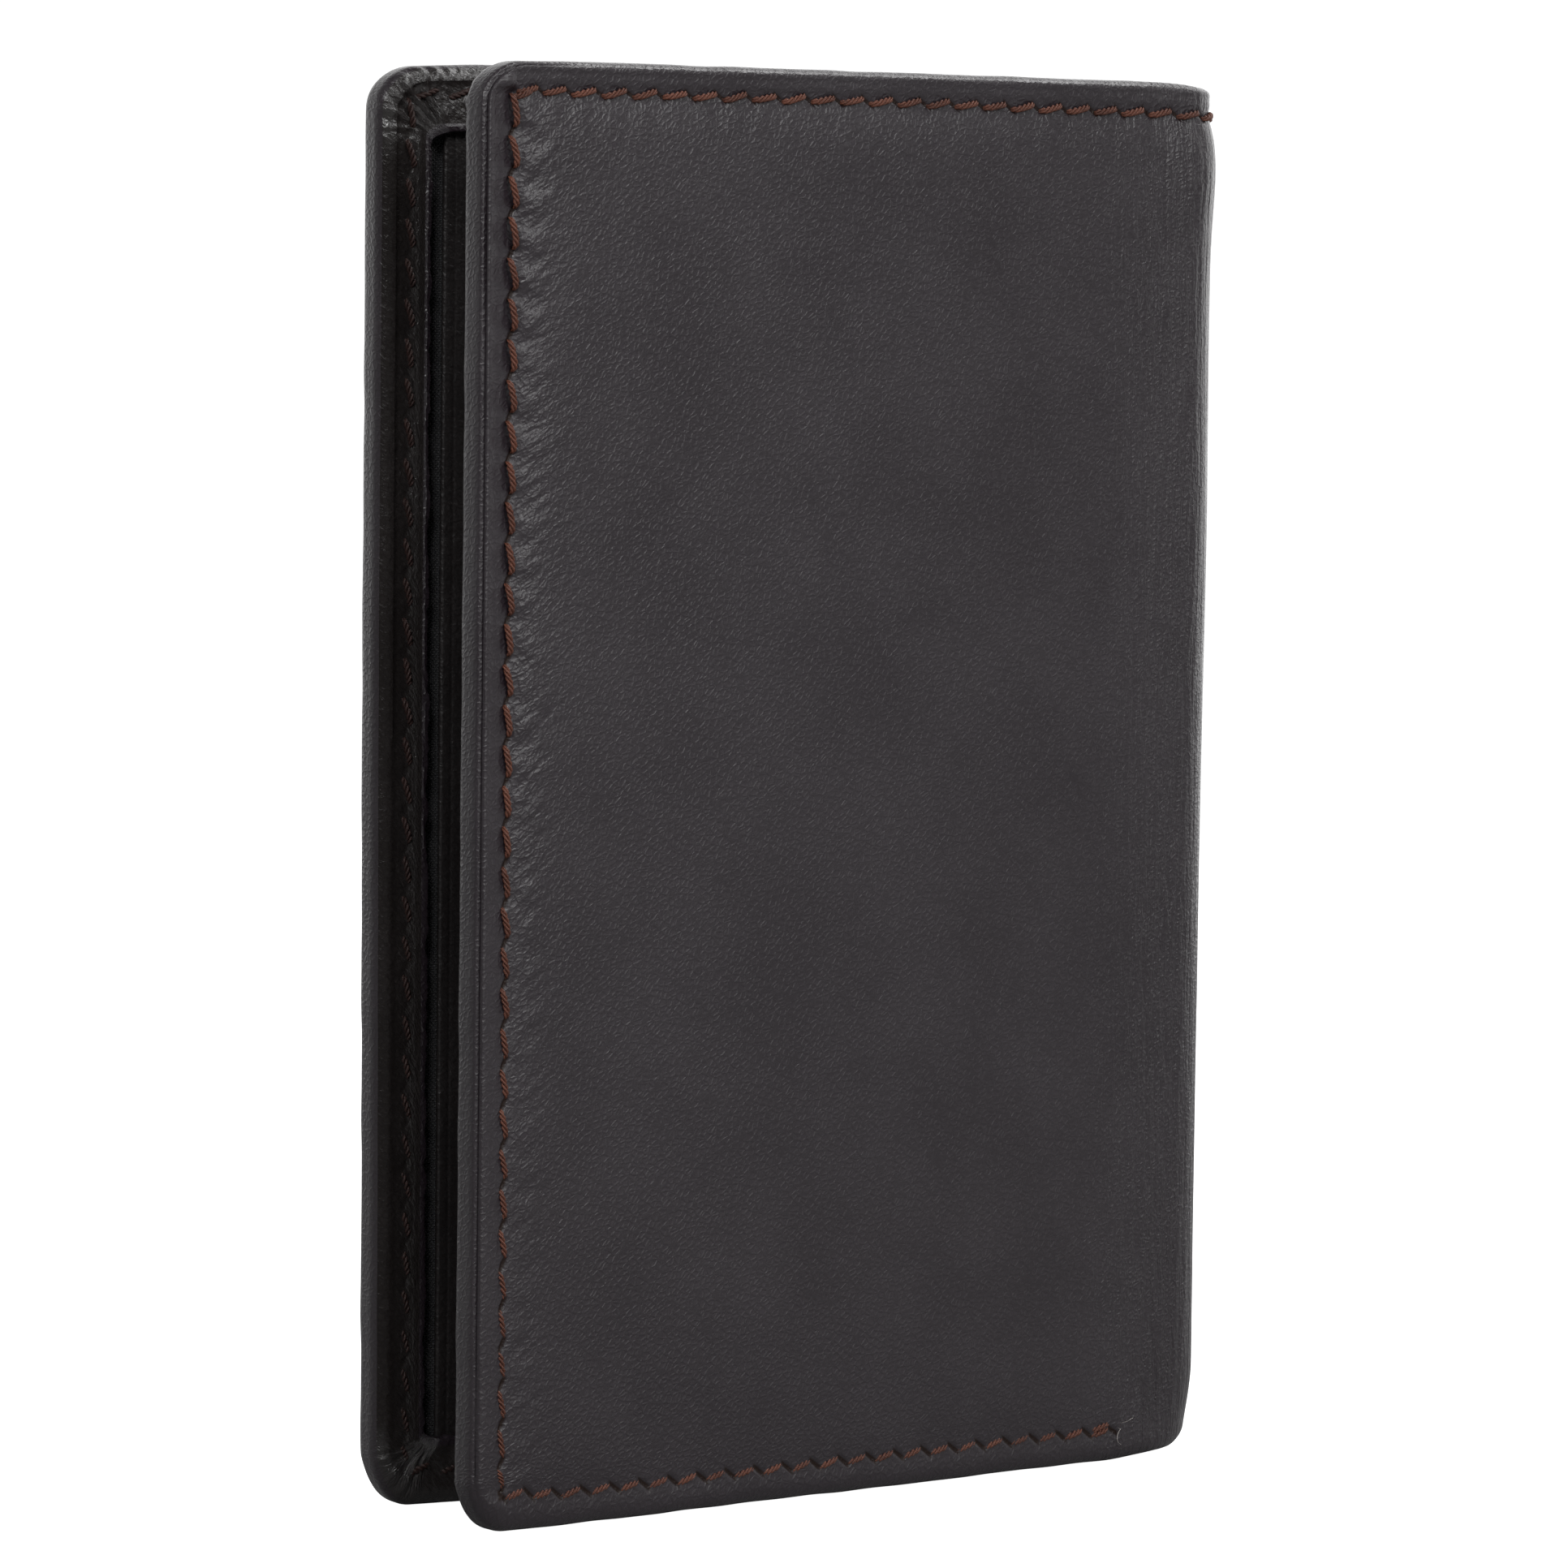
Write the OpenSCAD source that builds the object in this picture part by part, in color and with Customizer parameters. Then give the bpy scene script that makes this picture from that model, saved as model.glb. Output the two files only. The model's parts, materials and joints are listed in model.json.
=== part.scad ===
// Folding business card case in thin calf leather: two stiffened covers joined by a soft spine,
// a row of lockstitch round the edge, stepped card slots in the rear cover and a gusseted card
// pocket in the front one. It stands on its lower edge, ajar, with the spine towards +X.

/* [Case] */
// Height of the case
case_h = 105; // [95:1:120]
// Width of the closed case, from free edge to spine
case_w = 70; // [64:1:80]
// Thickness of the closed case over the spine
fold_t = 9; // [8.6:0.1:11]
// Angle between the covers as the case stands
ajar_deg = 6.6; // [4:0.2:12]

/* [Covers] */
// Radius of the two corners at a cover's free edge
corner_r = 3.3; // [2.5:0.1:5]
// Thickness of a cover at its stitched edge
edge_t = 3.3; // [3.3:0.1:3.6]
// Rounding of a cover's edge
edge_r = 1.2; // [1:0.1:1.4]
// Thickness of the outer leather
leather_t = 0.9; // [0.8:0.05:0.9]
// Thickness of the turned-over hem
hem_t = 0.9; // [0.6:0.05:0.9]
// Width of the hem along the upper and lower edges
hem_w = 5; // [4:0.1:5]
// Width of the hem along the free edge
hem_side_w = 4.2; // [4:0.1:5]
// Thickness of the stiffening board
board_t = 0.4; // [0.3:0.05:0.4]
// Thickness of the lining
lining_t = 0.2; // [0.15:0.05:0.2]

/* [Stitching] */
// Distance of the edge seam from the free edge
seam_in = 2.5; // [2:0.1:3]
// Distance of the edge seam from the upper and lower edges
seam_end = 2.2; // [2:0.1:3]
// Length from one stitch to the next along the free edge
side_pitch = 2.85; // [2.4:0.05:4]
// Length from one stitch to the next along the upper and lower edges
end_pitch = 2.65; // [2.4:0.05:4]
// Length from one stitch to the next on the pockets
patch_pitch = 2.9; // [2.4:0.05:4]
// Length of thread that shows in each stitch
stitch_len = 2; // [1.5:0.1:2.1]
// Width of the thread
thread_w = 0.5; // [0.4:0.05:0.6]

/* [Pockets] */
// Distance from the free edge to the mouth of the base pocket
pocket_mouth = 5.6; // [5.4:0.1:7]
// Step from one card slot's mouth to the next
slot_step = 9; // [6:0.5:12]
// Depth of the gusseted card pocket
gusset_d = 1.1; // [0.8:0.1:1.2]
// Radius of the thumb notch in the card pocket
notch_r = 12; // [10:0.5:16]
// Depth of the thumb notch from the pocket's mouth
notch_depth = 7; // [4:0.5:8]

/* [Hidden] */
$fn = 48;

fold_r = fold_t / 2;
half_ajar = ajar_deg / 2;
leaf = case_w - fold_r; // length of a cover's flat part
hinge_deg = 45 - half_ajar / 2; // where each fold line lies, round the spine from +X
arc_deg = 90 - half_ajar - hinge_deg; // share of the bend that belongs to a cover
arc_gap_deg = 0.4; // free space at each fold line
hairline_deg = 0.1; // parts the bend from the flat stretch
fold_relief_deg = 4; // bevel that lets the spine close past its standing angle

// Depths of the layers, from the outer face inwards
board_u = leather_t;
lining_u = board_u + board_t;
pocket_edge_u = lining_u + lining_t;
hem_u = edge_t - hem_t;
spine_hem_t = 0.8;
spine_tape_t = 0.3;
spine_lining_t = 0.3;
spine_tape_u = leather_t;
spine_lining_u = spine_tape_u + spine_tape_t;
spine_hem_u = spine_lining_u + spine_lining_t;
spine_edge_t = spine_hem_u + spine_hem_t;

pocket_edge_t = 0.4;
pocket_t = hem_u - pocket_edge_u - pocket_edge_t;
slot_edge_t = 0.3;
slot_t = 0.45;
slot_1_u = hem_u + slot_edge_t;
slot_2_u = slot_1_u + slot_t + slot_edge_t;
card_pocket_t = 0.5;
card_pocket_u = hem_u + gusset_d;

margin_w = 2; // width of a pocket's turned edge
spine_margin = 3; // from the bend to the pockets
board_margin = 1.2; // from the edge to the board
patch_in = 5.2; // from the edge to the sewn-on pockets
channel_t = 0.3; // depth of the channel that the seam sinks into
channel_w = thread_w + 0.1;
stitch_t = 0.28;
seam_stop = 5.5; // where the lower edge seam stops short of the bend
overlap = 1;

// The case stands centred on its own footprint
free_x = (edge_r - leaf) * cos(half_ajar) + (fold_r - edge_t + edge_r) * sin(half_ajar) - edge_r;
centre_x = (fold_r + free_x) / 2;

leather_colour = [0.24, 0.22, 0.22];
inner_colour = [0.13, 0.11, 0.11];
lining_colour = [0.09, 0.09, 0.1];
board_colour = [0.55, 0.5, 0.43];
thread_colour = [0.36, 0.2, 0.16];

// ---- placing --------------------------------------------------------------------------------

// The spine's frame: origin at the centre of the bend
module at_spine() translate([-centre_x, 0, 0]) children();

// A cover's frame: outer face at y = fold_r, free edge at x = -leaf
module at_rear() at_spine() rotate([0, 0, -half_ajar]) children();
module at_front() at_spine() mirror([0, 1, 0]) rotate([0, 0, -half_ajar]) children();

// Flat sheets are drawn as (along the width, up the height, depth below the outer face)
module sheet() translate([0, fold_r, 0]) rotate([90, 0, 0]) children();

module plate(a0, a1, b0, b1, u0, u1) translate([a0, b0, u0]) cube([a1 - a0, b1 - b0, u1 - u0]);

// ---- rounded covers -------------------------------------------------------------------------

// Section through a rounded edge, out to r from the corner's centre
module edge_section(r, e, t) {
    square([r - e, t]);
    translate([0, e]) square([r, t - 2 * e]);
    translate([r - e, e]) circle(e);
    translate([r - e, t - e]) circle(e);
}

// Slab that follows the cover's outline at a distance inset, with its three free edges rounded
module slab(inset, u0, u1, e) {
    r = corner_r - inset;
    a0 = -leaf + corner_r;
    b0 = corner_r;
    b1 = case_h - corner_r;
    t = u1 - u0;
    translate([0, 0, u0]) {
        plate(a0, 0, b0, b1, 0, t);
        translate([a0, b0, 0]) rotate([0, 0, 180]) rotate_extrude(angle = 90) edge_section(r, e, t);
        translate([a0, b1, 0]) rotate([0, 0, 90]) rotate_extrude(angle = 90) edge_section(r, e, t);
        translate([a0, b1, 0]) rotate([90, 0, 0]) linear_extrude(b1 - b0)
            mirror([1, 0]) edge_section(r, e, t);
        translate([0, b0, 0]) rotate([90, 0, -90]) linear_extrude(-a0) edge_section(r, e, t);
        translate([a0, b1, 0]) rotate([90, 0, 90]) linear_extrude(-a0) edge_section(r, e, t);
    }
}

// Sheet with square edges and the outline's rounded corners
module sheet_layer(inset, a1, u0, u1) {
    r = max(corner_r - inset, 0.5);
    a0 = -leaf + inset;
    translate([0, 0, u0]) linear_extrude(u1 - u0) {
        translate([a0 + r, inset]) square([a1 - a0 - r, case_h - 2 * inset]);
        translate([a0, inset + r]) square([r, case_h - 2 * (inset + r)]);
        translate([a0 + r, inset + r]) circle(r);
        translate([a0 + r, case_h - inset - r]) circle(r);
    }
}

// Part of the bend, from angle from_deg over sweep_deg, as a ring between two depths and heights
module bend(from_deg, sweep_deg, u0, u1, z0, z1) {
    rotate([0, 0, from_deg]) rotate_extrude(angle = sweep_deg)
        translate([fold_r - u1, z0]) square([u1 - u0, z1 - z0]);
}

// The bend's share that belongs to a cover, in the cover's frame. A hairline parts it from the
// flat stretch, so that each is a solid of its own.
module cover_bend(u0, u1, z0, z1) {
    bend(90 - arc_deg + arc_gap_deg, arc_deg - arc_gap_deg - hairline_deg, u0, u1, z0, z1);
}

module hem_window() {
    plate(-leaf + hem_side_w, overlap, hem_w, case_h - hem_w, hem_u - overlap, edge_t + overlap);
}

// Channel of the edge seam, between two depths
module seam_channel(u0, u1) {
    w = channel_w / 2;
    a0 = -leaf + seam_in;
    plate(a0 - w, a0 + w, seam_end - w, case_h - seam_end + w, u0, u1);
    plate(a0 - w, -seam_stop + w, seam_end - w, seam_end + w, u0, u1);
    plate(a0 - w, overlap, case_h - seam_end - w, case_h - seam_end + w, u0, u1);
}

// ---- layers of a cover ----------------------------------------------------------------------

module cover() {
    sheet() difference() {
        intersection() {
            slab(0, 0, edge_t, edge_r);
            plate(-case_w, 0, 0, case_h, 0, leather_t);
        }
        seam_channel(-overlap, channel_t);
    }
    difference() {
        cover_bend(0, leather_t, 0, case_h);
        cover_bend(-overlap, channel_t, case_h - seam_end - channel_w / 2,
            case_h - seam_end + channel_w / 2);
    }
}

module hem() {
    difference() {
        sheet() difference() {
            slab(0, 0, edge_t, edge_r);
            plate(-case_w, overlap, -overlap, case_h + overlap, -overlap, leather_t);
            sheet_layer(board_margin, overlap, leather_t - overlap, hem_u);
            hem_window();
            seam_channel(edge_t - channel_t, edge_t + overlap);
        }
        translate([0, 0, board_margin]) cylinder(r = fold_r, h = case_h - 2 * board_margin);
    }
    for (z = [0, case_h - board_margin]) cover_bend(leather_t, spine_edge_t, z, z + board_margin);
    cover_bend(spine_hem_u, spine_edge_t, board_margin, hem_w);
    cover_bend(spine_hem_u, spine_edge_t, case_h - hem_w, case_h - board_margin);
}

module board() {
    sheet() sheet_layer(board_margin, -spine_margin / 2, board_u, lining_u);
}

module cover_lining() {
    sheet() sheet_layer(board_margin, -spine_margin / 2, lining_u, pocket_edge_u);
    cover_bend(leather_t, spine_hem_u, board_margin, case_h - board_margin);
}

// ---- pockets --------------------------------------------------------------------------------

// U-shaped edge that closes a pocket on the spine side, above and below
module pocket_frame(a0, inset, u0, u1) {
    a1 = -spine_margin;
    difference() {
        plate(a0, a1, inset, case_h - inset, u0, u1);
        plate(a0 - overlap, a1 - margin_w, inset + margin_w, case_h - inset - margin_w,
            u0 - overlap, u1 + overlap);
    }
}

module rear_pocket_panel() {
    sheet() plate(-leaf + pocket_mouth, -spine_margin, board_margin, case_h - board_margin,
        pocket_edge_u + pocket_edge_t, pocket_edge_u + pocket_edge_t + pocket_t);
}

module slot_panel(n, u) {
    sheet() plate(-leaf + pocket_mouth + n * slot_step, -spine_margin, patch_in, case_h - patch_in,
        u, u + slot_t);
}

module slot_frame(n, u) {
    sheet() pocket_frame(-leaf + pocket_mouth + n * slot_step, patch_in, u - slot_edge_t, u);
}

module card_pocket_panel() {
    a0 = -leaf + pocket_mouth;
    sheet() difference() {
        plate(a0, -spine_margin, patch_in, case_h - patch_in, card_pocket_u,
            card_pocket_u + card_pocket_t);
        translate([a0 - notch_r + notch_depth, case_h / 2, card_pocket_u - overlap])
            cylinder(r = notch_r, h = card_pocket_t + 2 * overlap);
    }
}

// ---- stitches -------------------------------------------------------------------------------

// Stitches in a straight line along x from the origin, centred on y = 0
module stitch_row(length, aim) {
    count = round(length / aim);
    pitch = length / count;
    for (i = [0 : count - 1]) {
        translate([i * pitch + (pitch - stitch_len) / 2, -thread_w / 2, 0])
            cube([stitch_len, thread_w, stitch_t]);
    }
}

// The edge seam's stitches on one face of a cover, u0 being the depth of their outer side
module edge_stitches(u0) {
    a0 = -leaf + seam_in;
    b1 = case_h - seam_end;
    translate([a0, seam_end, u0]) rotate([0, 0, 90]) stitch_row(b1 - seam_end, side_pitch);
    translate([a0, seam_end, u0]) stitch_row(-seam_stop - a0, end_pitch);
    translate([a0, b1, u0]) stitch_row(-a0, end_pitch);
}

// Stitches that close a sewn-on pocket on three sides, starting at a0
module patch_stitches(a0, u0) {
    line = patch_in + margin_w / 2;
    a1 = -spine_margin - margin_w / 2;
    translate([a1, line, u0]) rotate([0, 0, 90]) stitch_row(case_h - 2 * line, patch_pitch);
    for (b = [line, case_h - line]) translate([a0, b, u0]) stitch_row(a1 - a0, patch_pitch);
}

// One stitch bent round the spine, centred on an angle
module bent_stitch(centre_deg) {
    half = stitch_len / fold_r * 90 / PI;
    bend(centre_deg - half, 2 * half, channel_t - stitch_t, channel_t,
        case_h - seam_end - thread_w / 2, case_h - seam_end + thread_w / 2);
}

// ---- spine ----------------------------------------------------------------------------------

// Everything between the two fold lines, which are bevelled so that the case can close
module spine_wedge() {
    f = [cos(hinge_deg), sin(hinge_deg)] * fold_r;
    cut = 180 + hinge_deg + fold_relief_deg;
    q = f + [cos(cut), sin(cut)] * fold_r;
    translate([0, 0, -overlap]) linear_extrude(case_h + 2 * overlap) polygon([
        [f[0], f[1]], [q[0], q[1]], [q[0], -q[1]], [f[0], -f[1]],
        [2 * fold_r, -f[1]], [2 * fold_r, f[1]],
    ]);
}

module spine_ring(u0, u1, z0, z1) {
    intersection() {
        bend(-hinge_deg - arc_deg / 2, 2 * hinge_deg + arc_deg, u0, u1, z0, z1);
        spine_wedge();
    }
}

module spine_hem_rings() {
    spine_ring(leather_t, spine_edge_t, 0, board_margin);
    spine_ring(leather_t, spine_edge_t, case_h - board_margin, case_h);
    spine_ring(spine_hem_u, spine_edge_t, board_margin, hem_w);
    spine_ring(spine_hem_u, spine_edge_t, case_h - hem_w, case_h - board_margin);
}

// ---- nodes ----------------------------------------------------------------------------------

module rear_cover() color(leather_colour) at_rear() cover();
module rear_hem() color(leather_colour) at_rear() hem();
module rear_board() color(board_colour) at_rear() board();
module rear_lining() color(lining_colour) at_rear() cover_lining();
module rear_pocket() color(inner_colour) at_rear() rear_pocket_panel();
module rear_pocket_edge() color(inner_colour) at_rear() sheet()
    pocket_frame(-leaf + pocket_mouth, board_margin, pocket_edge_u, pocket_edge_u + pocket_edge_t);
module rear_slot_1() color(inner_colour) at_rear() slot_panel(1, slot_1_u);
module rear_slot_1_edge() color(inner_colour) at_rear() slot_frame(1, slot_1_u);
module rear_slot_2() color(inner_colour) at_rear() slot_panel(2, slot_2_u);
module rear_slot_2_edge() color(inner_colour) at_rear() slot_frame(2, slot_2_u);
module rear_slot_stitches() color(thread_colour) at_rear() sheet()
    patch_stitches(-leaf + pocket_mouth + 2 * slot_step, slot_2_u + slot_t);
module rear_outer_stitches() color(thread_colour) at_rear() {
    sheet() edge_stitches(channel_t - stitch_t);
    bent_stitch(90 - arc_deg / 2);
}
module rear_inner_stitches() color(thread_colour) at_rear() sheet()
    edge_stitches(edge_t - channel_t);

module spine_cover() color(leather_colour) at_spine() difference() {
    spine_ring(0, leather_t, 0, case_h);
    bend(-90, 180, -overlap, channel_t, case_h - seam_end - channel_w / 2,
        case_h - seam_end + channel_w / 2);
}
module spine_hem() color(leather_colour) at_spine() spine_hem_rings();
module spine_tape() color(lining_colour) at_spine()
    spine_ring(spine_tape_u, spine_lining_u, board_margin, case_h - board_margin);
module spine_lining() color(lining_colour) at_spine()
    spine_ring(spine_lining_u, spine_hem_u, board_margin, case_h - board_margin);
module spine_stitches() color(thread_colour) at_spine()
    for (side = [-1, 1]) bent_stitch(side * hinge_deg / 2);

module front_cover() color(leather_colour) at_front() cover();
module front_hem() color(leather_colour) at_front() hem();
module front_board() color(board_colour) at_front() board();
module front_lining() color(lining_colour) at_front() cover_lining();
module front_facing() color(inner_colour) at_front() sheet()
    sheet_layer(board_margin, -spine_margin, pocket_edge_u, hem_u);
module card_pocket() color(inner_colour) at_front() card_pocket_panel();
module card_pocket_gusset() color(inner_colour) at_front() sheet()
    pocket_frame(-leaf + pocket_mouth, patch_in, hem_u, card_pocket_u);
module card_pocket_stitches() color(thread_colour) at_front() sheet()
    patch_stitches(-leaf + pocket_mouth, card_pocket_u + card_pocket_t);
module front_outer_stitches() color(thread_colour) at_front() {
    sheet() edge_stitches(channel_t - stitch_t);
    bent_stitch(90 - arc_deg / 2);
}
module front_inner_stitches() color(thread_colour) at_front() sheet()
    edge_stitches(edge_t - channel_t);

rear_cover();
rear_hem();
rear_board();
rear_lining();
rear_pocket();
rear_pocket_edge();
rear_slot_1();
rear_slot_1_edge();
rear_slot_2();
rear_slot_2_edge();
rear_slot_stitches();
rear_outer_stitches();
rear_inner_stitches();
spine_cover();
spine_hem();
spine_tape();
spine_lining();
spine_stitches();
front_cover();
front_hem();
front_board();
front_lining();
front_facing();
card_pocket();
card_pocket_gusset();
card_pocket_stitches();
front_outer_stitches();
front_inner_stitches();
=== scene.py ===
"""The visible business card case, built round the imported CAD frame. Lengths are in millimetres
until place() turns them into metres. Every layer of the case is drawn flat, as s along the outer
leather from the free edge to the middle of the spine, z up, and u deep below the outer face."""
import json
import math
import bpy
import numpy as np
from mathutils import Matrix, Vector


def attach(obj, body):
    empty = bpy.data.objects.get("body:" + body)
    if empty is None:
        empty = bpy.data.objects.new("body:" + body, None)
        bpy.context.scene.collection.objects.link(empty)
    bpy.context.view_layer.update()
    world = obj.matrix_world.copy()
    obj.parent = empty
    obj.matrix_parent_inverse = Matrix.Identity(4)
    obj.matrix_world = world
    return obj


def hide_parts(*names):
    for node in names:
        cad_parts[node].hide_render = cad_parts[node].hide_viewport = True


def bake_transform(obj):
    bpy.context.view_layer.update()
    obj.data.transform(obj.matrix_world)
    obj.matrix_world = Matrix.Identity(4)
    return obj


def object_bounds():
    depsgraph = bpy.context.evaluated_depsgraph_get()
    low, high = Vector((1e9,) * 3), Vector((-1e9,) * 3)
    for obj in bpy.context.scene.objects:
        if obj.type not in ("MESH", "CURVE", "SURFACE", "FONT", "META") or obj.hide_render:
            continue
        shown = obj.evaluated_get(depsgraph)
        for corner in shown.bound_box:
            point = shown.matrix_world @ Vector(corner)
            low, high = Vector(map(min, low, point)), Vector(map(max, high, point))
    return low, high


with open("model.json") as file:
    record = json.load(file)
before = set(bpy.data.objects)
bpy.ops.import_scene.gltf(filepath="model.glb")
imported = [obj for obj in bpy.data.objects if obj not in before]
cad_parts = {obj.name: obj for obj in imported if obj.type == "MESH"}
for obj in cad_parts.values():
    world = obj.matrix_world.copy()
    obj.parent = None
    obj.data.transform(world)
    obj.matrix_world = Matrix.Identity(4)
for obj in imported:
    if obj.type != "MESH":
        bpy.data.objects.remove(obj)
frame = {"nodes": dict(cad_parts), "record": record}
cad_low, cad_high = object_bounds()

# ---- the case's own dimensions, in millimetres ----
# LEAF is where a cover ends and the fold starts, BORDER how far the edge's profile reaches in, and
# the seams run SEAM_SIDE and SEAM_END inside the edges. The steps are mesh spacings, HEM_FROM is an
# angle round the rolled edge in degrees, and the slits are slopes.
MM = 0.001
HEIGHT = (cad_high.z - cad_low.z) / MM
MOUNTS = {m["name"]: m for m in frame["record"]["mounts"]}
LEAN = math.atan2(MOUNTS["rear_face"]["axis"][0], MOUNTS["rear_face"]["axis"][1])
FOLD_R = 4.5
LEAF = 65.5
CENTRE_X = cad_high.x / MM - FOLD_R
MID_S = LEAF + FOLD_R * (math.pi / 2 - LEAN)

CORNER_R = 3.3
EDGE_T = 3.3
EDGE_R = 1.2
SPINE_T = 2.4
LEATHER_T = 0.9
HEM_W = 5.0
HEM_SIDE = 4.2
BORDER = 6.0
STEP = 0.193
PANEL_STEP = 0.45
LAYER_STEP = 0.9
LAYER_CORNER_R = 1.8
HEM_FROM = 138

SEAM_SIDE = 2.5
SEAM_END = 2.2
SEAM_STOP = LEAF - 5.5
SIDE_PITCH = 2.85
END_PITCH = 2.65
PATCH_PITCH = 2.9
SEAM_VALLEY = 0.6
SIDE_SLIT = 0.45
END_SLIT = 0.66
OUTER_SLANT = 0.18
INNER_SLANT = 0.22
PATCH_SLANT = 0.15
PLY_TURNS = -1.7
PLY_OFFSET = 0.135
PLY_R = 0.13
FLUFF_R = 0.022
DEPTH_DIR = np.array([0.0, 0.0, 1.0])

REAR, FRONT = 1, -1
WORD = {REAR: "rear", FRONT: "front"}

LAYER_IN = 1.2
PATCH_IN = 5.2
POCKET_MOUTH = 5.6
POCKET_END = LEAF - 3.0
SLOT_STEP = 9.0
NOTCH_R = 12.0
NOTCH_DEPTH = 7.0

# ---- how far the handmade case strays from its ideal shape, in millimetres ----
FRONT_TRIM = 0.45
REAR_TRIM = 0.32
SEAM_WANDER = 0.28
PLEAT_CENTRE = 5.3
REAR_FOOT_ROUNDING = 0.15
FOOT_ROUNDING = 0.04
LOWER_SEAM_RISE = 0.33
LOWER_SEAM_RISE_AT_EDGE = 0.4
UPPER_SEAM_RISE_AT_EDGE = 0.15
UPPER_SEAM_DROP_AT_FOLD = 0.2
FOOT_RISE_BY_FOLD = 0.36
FOOT_RISE_ON_FOLD = 0.4
TOP_DROP_AT_EDGE = {REAR: 0.3, FRONT: 0.1}
TOP_DROP_AT_FOLD = 0.3
FOLD_TUCK = 0.8
FOLD_BULGE_TOP = 0.42
FOLD_BULGE_LONG = 0.16
FACE_WAVE = 0.045
FACE_WAVE_FINE = 0.02

# ---- the leather beside a seam, in millimetres ----
PUFF = 0.14
PUFF_MORE_AT_TOP = 0.07
LIP = 0.05
PULLS = 0.06
SLIT_DEPTH = 0.18
END_STRENGTH = 0.25


# ---- small tools ----
def smooth(x, low, high):
    """0 below low, 1 above high, with a soft step in between."""
    t = np.clip((np.asarray(x, float) - low) / (high - low), 0, 1)
    return t * t * (3 - 2 * t)


def bump(x, centre, width):
    return np.exp(-(((np.asarray(x, float) - centre) / width) ** 2))


def noise(x, y, seed):
    """Smooth random values from -1 to 1, one per unit of x and y."""
    table = np.random.RandomState(seed).uniform(-1, 1, (64, 64))
    x, y = np.broadcast_arrays(np.asarray(x, float), np.asarray(y, float))
    i, j = np.floor(x).astype(int), np.floor(y).astype(int)
    fx, fy = smooth(x - i, 0, 1), smooth(y - j, 0, 1)
    a = table[i % 64, j % 64] * (1 - fx) + table[(i + 1) % 64, j % 64] * fx
    b = table[i % 64, (j + 1) % 64] * (1 - fx) + table[(i + 1) % 64, (j + 1) % 64] * fx
    return a * (1 - fy) + b * fy


def settle_height(s, z, side):
    """The seams, the foot and the top edge rise and fall a little along the case."""
    near_edge = 1 - smooth(s, 3, 9)
    lower = LOWER_SEAM_RISE + LOWER_SEAM_RISE_AT_EDGE * near_edge
    lower = lower * (1 - 0.5 * smooth(s, LEAF - 10, LEAF - 5)) * bump(z, 2.6, 1.5)
    upper = UPPER_SEAM_RISE_AT_EDGE * near_edge - UPPER_SEAM_DROP_AT_FOLD * smooth(s, 35, 66)
    z = z + lower + upper * bump(z, HEIGHT - 2.6, 1.5)
    low = smooth(s, LEAF - 6, LEAF + 1) * (1 - smooth(z, 0, 9))
    on_fold = smooth(s, LEAF + 1, LEAF + 5) * (1 - smooth(z, 0, 6))
    z = z + FOOT_RISE_BY_FOLD * low + FOOT_RISE_ON_FOLD * on_fold
    z = z - TOP_DROP_AT_EDGE[side] * smooth(z, HEIGHT - 8, HEIGHT) * (1 - smooth(s, 0, 9))
    return z - TOP_DROP_AT_FOLD * smooth(z, HEIGHT - 5, HEIGHT) * smooth(s, LEAF - 3, LEAF + 3)


def settle_depth(s, z, u):
    """The fold bulges towards the top and is drawn in at the foot."""
    tuck = smooth(s, LEAF - 2, LEAF + 3) * (1 - smooth(z, -1.0, 7))
    round_fold = smooth(s, LEAF - 3, LEAF + 2)
    bulge = FOLD_BULGE_TOP * bump(z, HEIGHT - 6, 5) + FOLD_BULGE_LONG * bump(z, HEIGHT - 30, 22)
    return u + FOLD_TUCK * tuck - round_fold * bulge


def place(s, z, u, side):
    """Folds flat coordinates round the spine and leans the cover: metres in the row frame."""
    z = settle_height(s, z, side)
    u = settle_depth(s, z, u)
    near_edge = 1 - smooth(s, 0, 10)
    if side == FRONT:
        s = s + FRONT_TRIM * near_edge + SEAM_WANDER * smooth(z, 25, 95) * bump(s, 2.9, 1.6)
    else:
        s = s + REAR_TRIM * near_edge * (1 - smooth(z, 0, 75))
    turn = np.maximum(s - LEAF, 0) / FOLD_R
    r = FOLD_R - u
    x = np.minimum(s - LEAF, 0) + r * np.sin(turn)
    y = r * np.cos(turn)
    out_x = x * math.cos(LEAN) + y * math.sin(LEAN) + CENTRE_X
    out_y = (y * math.cos(LEAN) - x * math.sin(LEAN)) * side
    return np.column_stack([out_x, out_y, z]) * MM


def edge_depth(s, u):
    """The covers thin out towards the spine: u at a free edge becomes u at s."""
    thin = (EDGE_T - SPINE_T) * smooth(s, LEAF - 6, LEAF + 1)
    return np.where(u > LEATHER_T, LEATHER_T + (u - LEATHER_T) * (1 - thin / (EDGE_T - LEATHER_T)), u)


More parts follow.
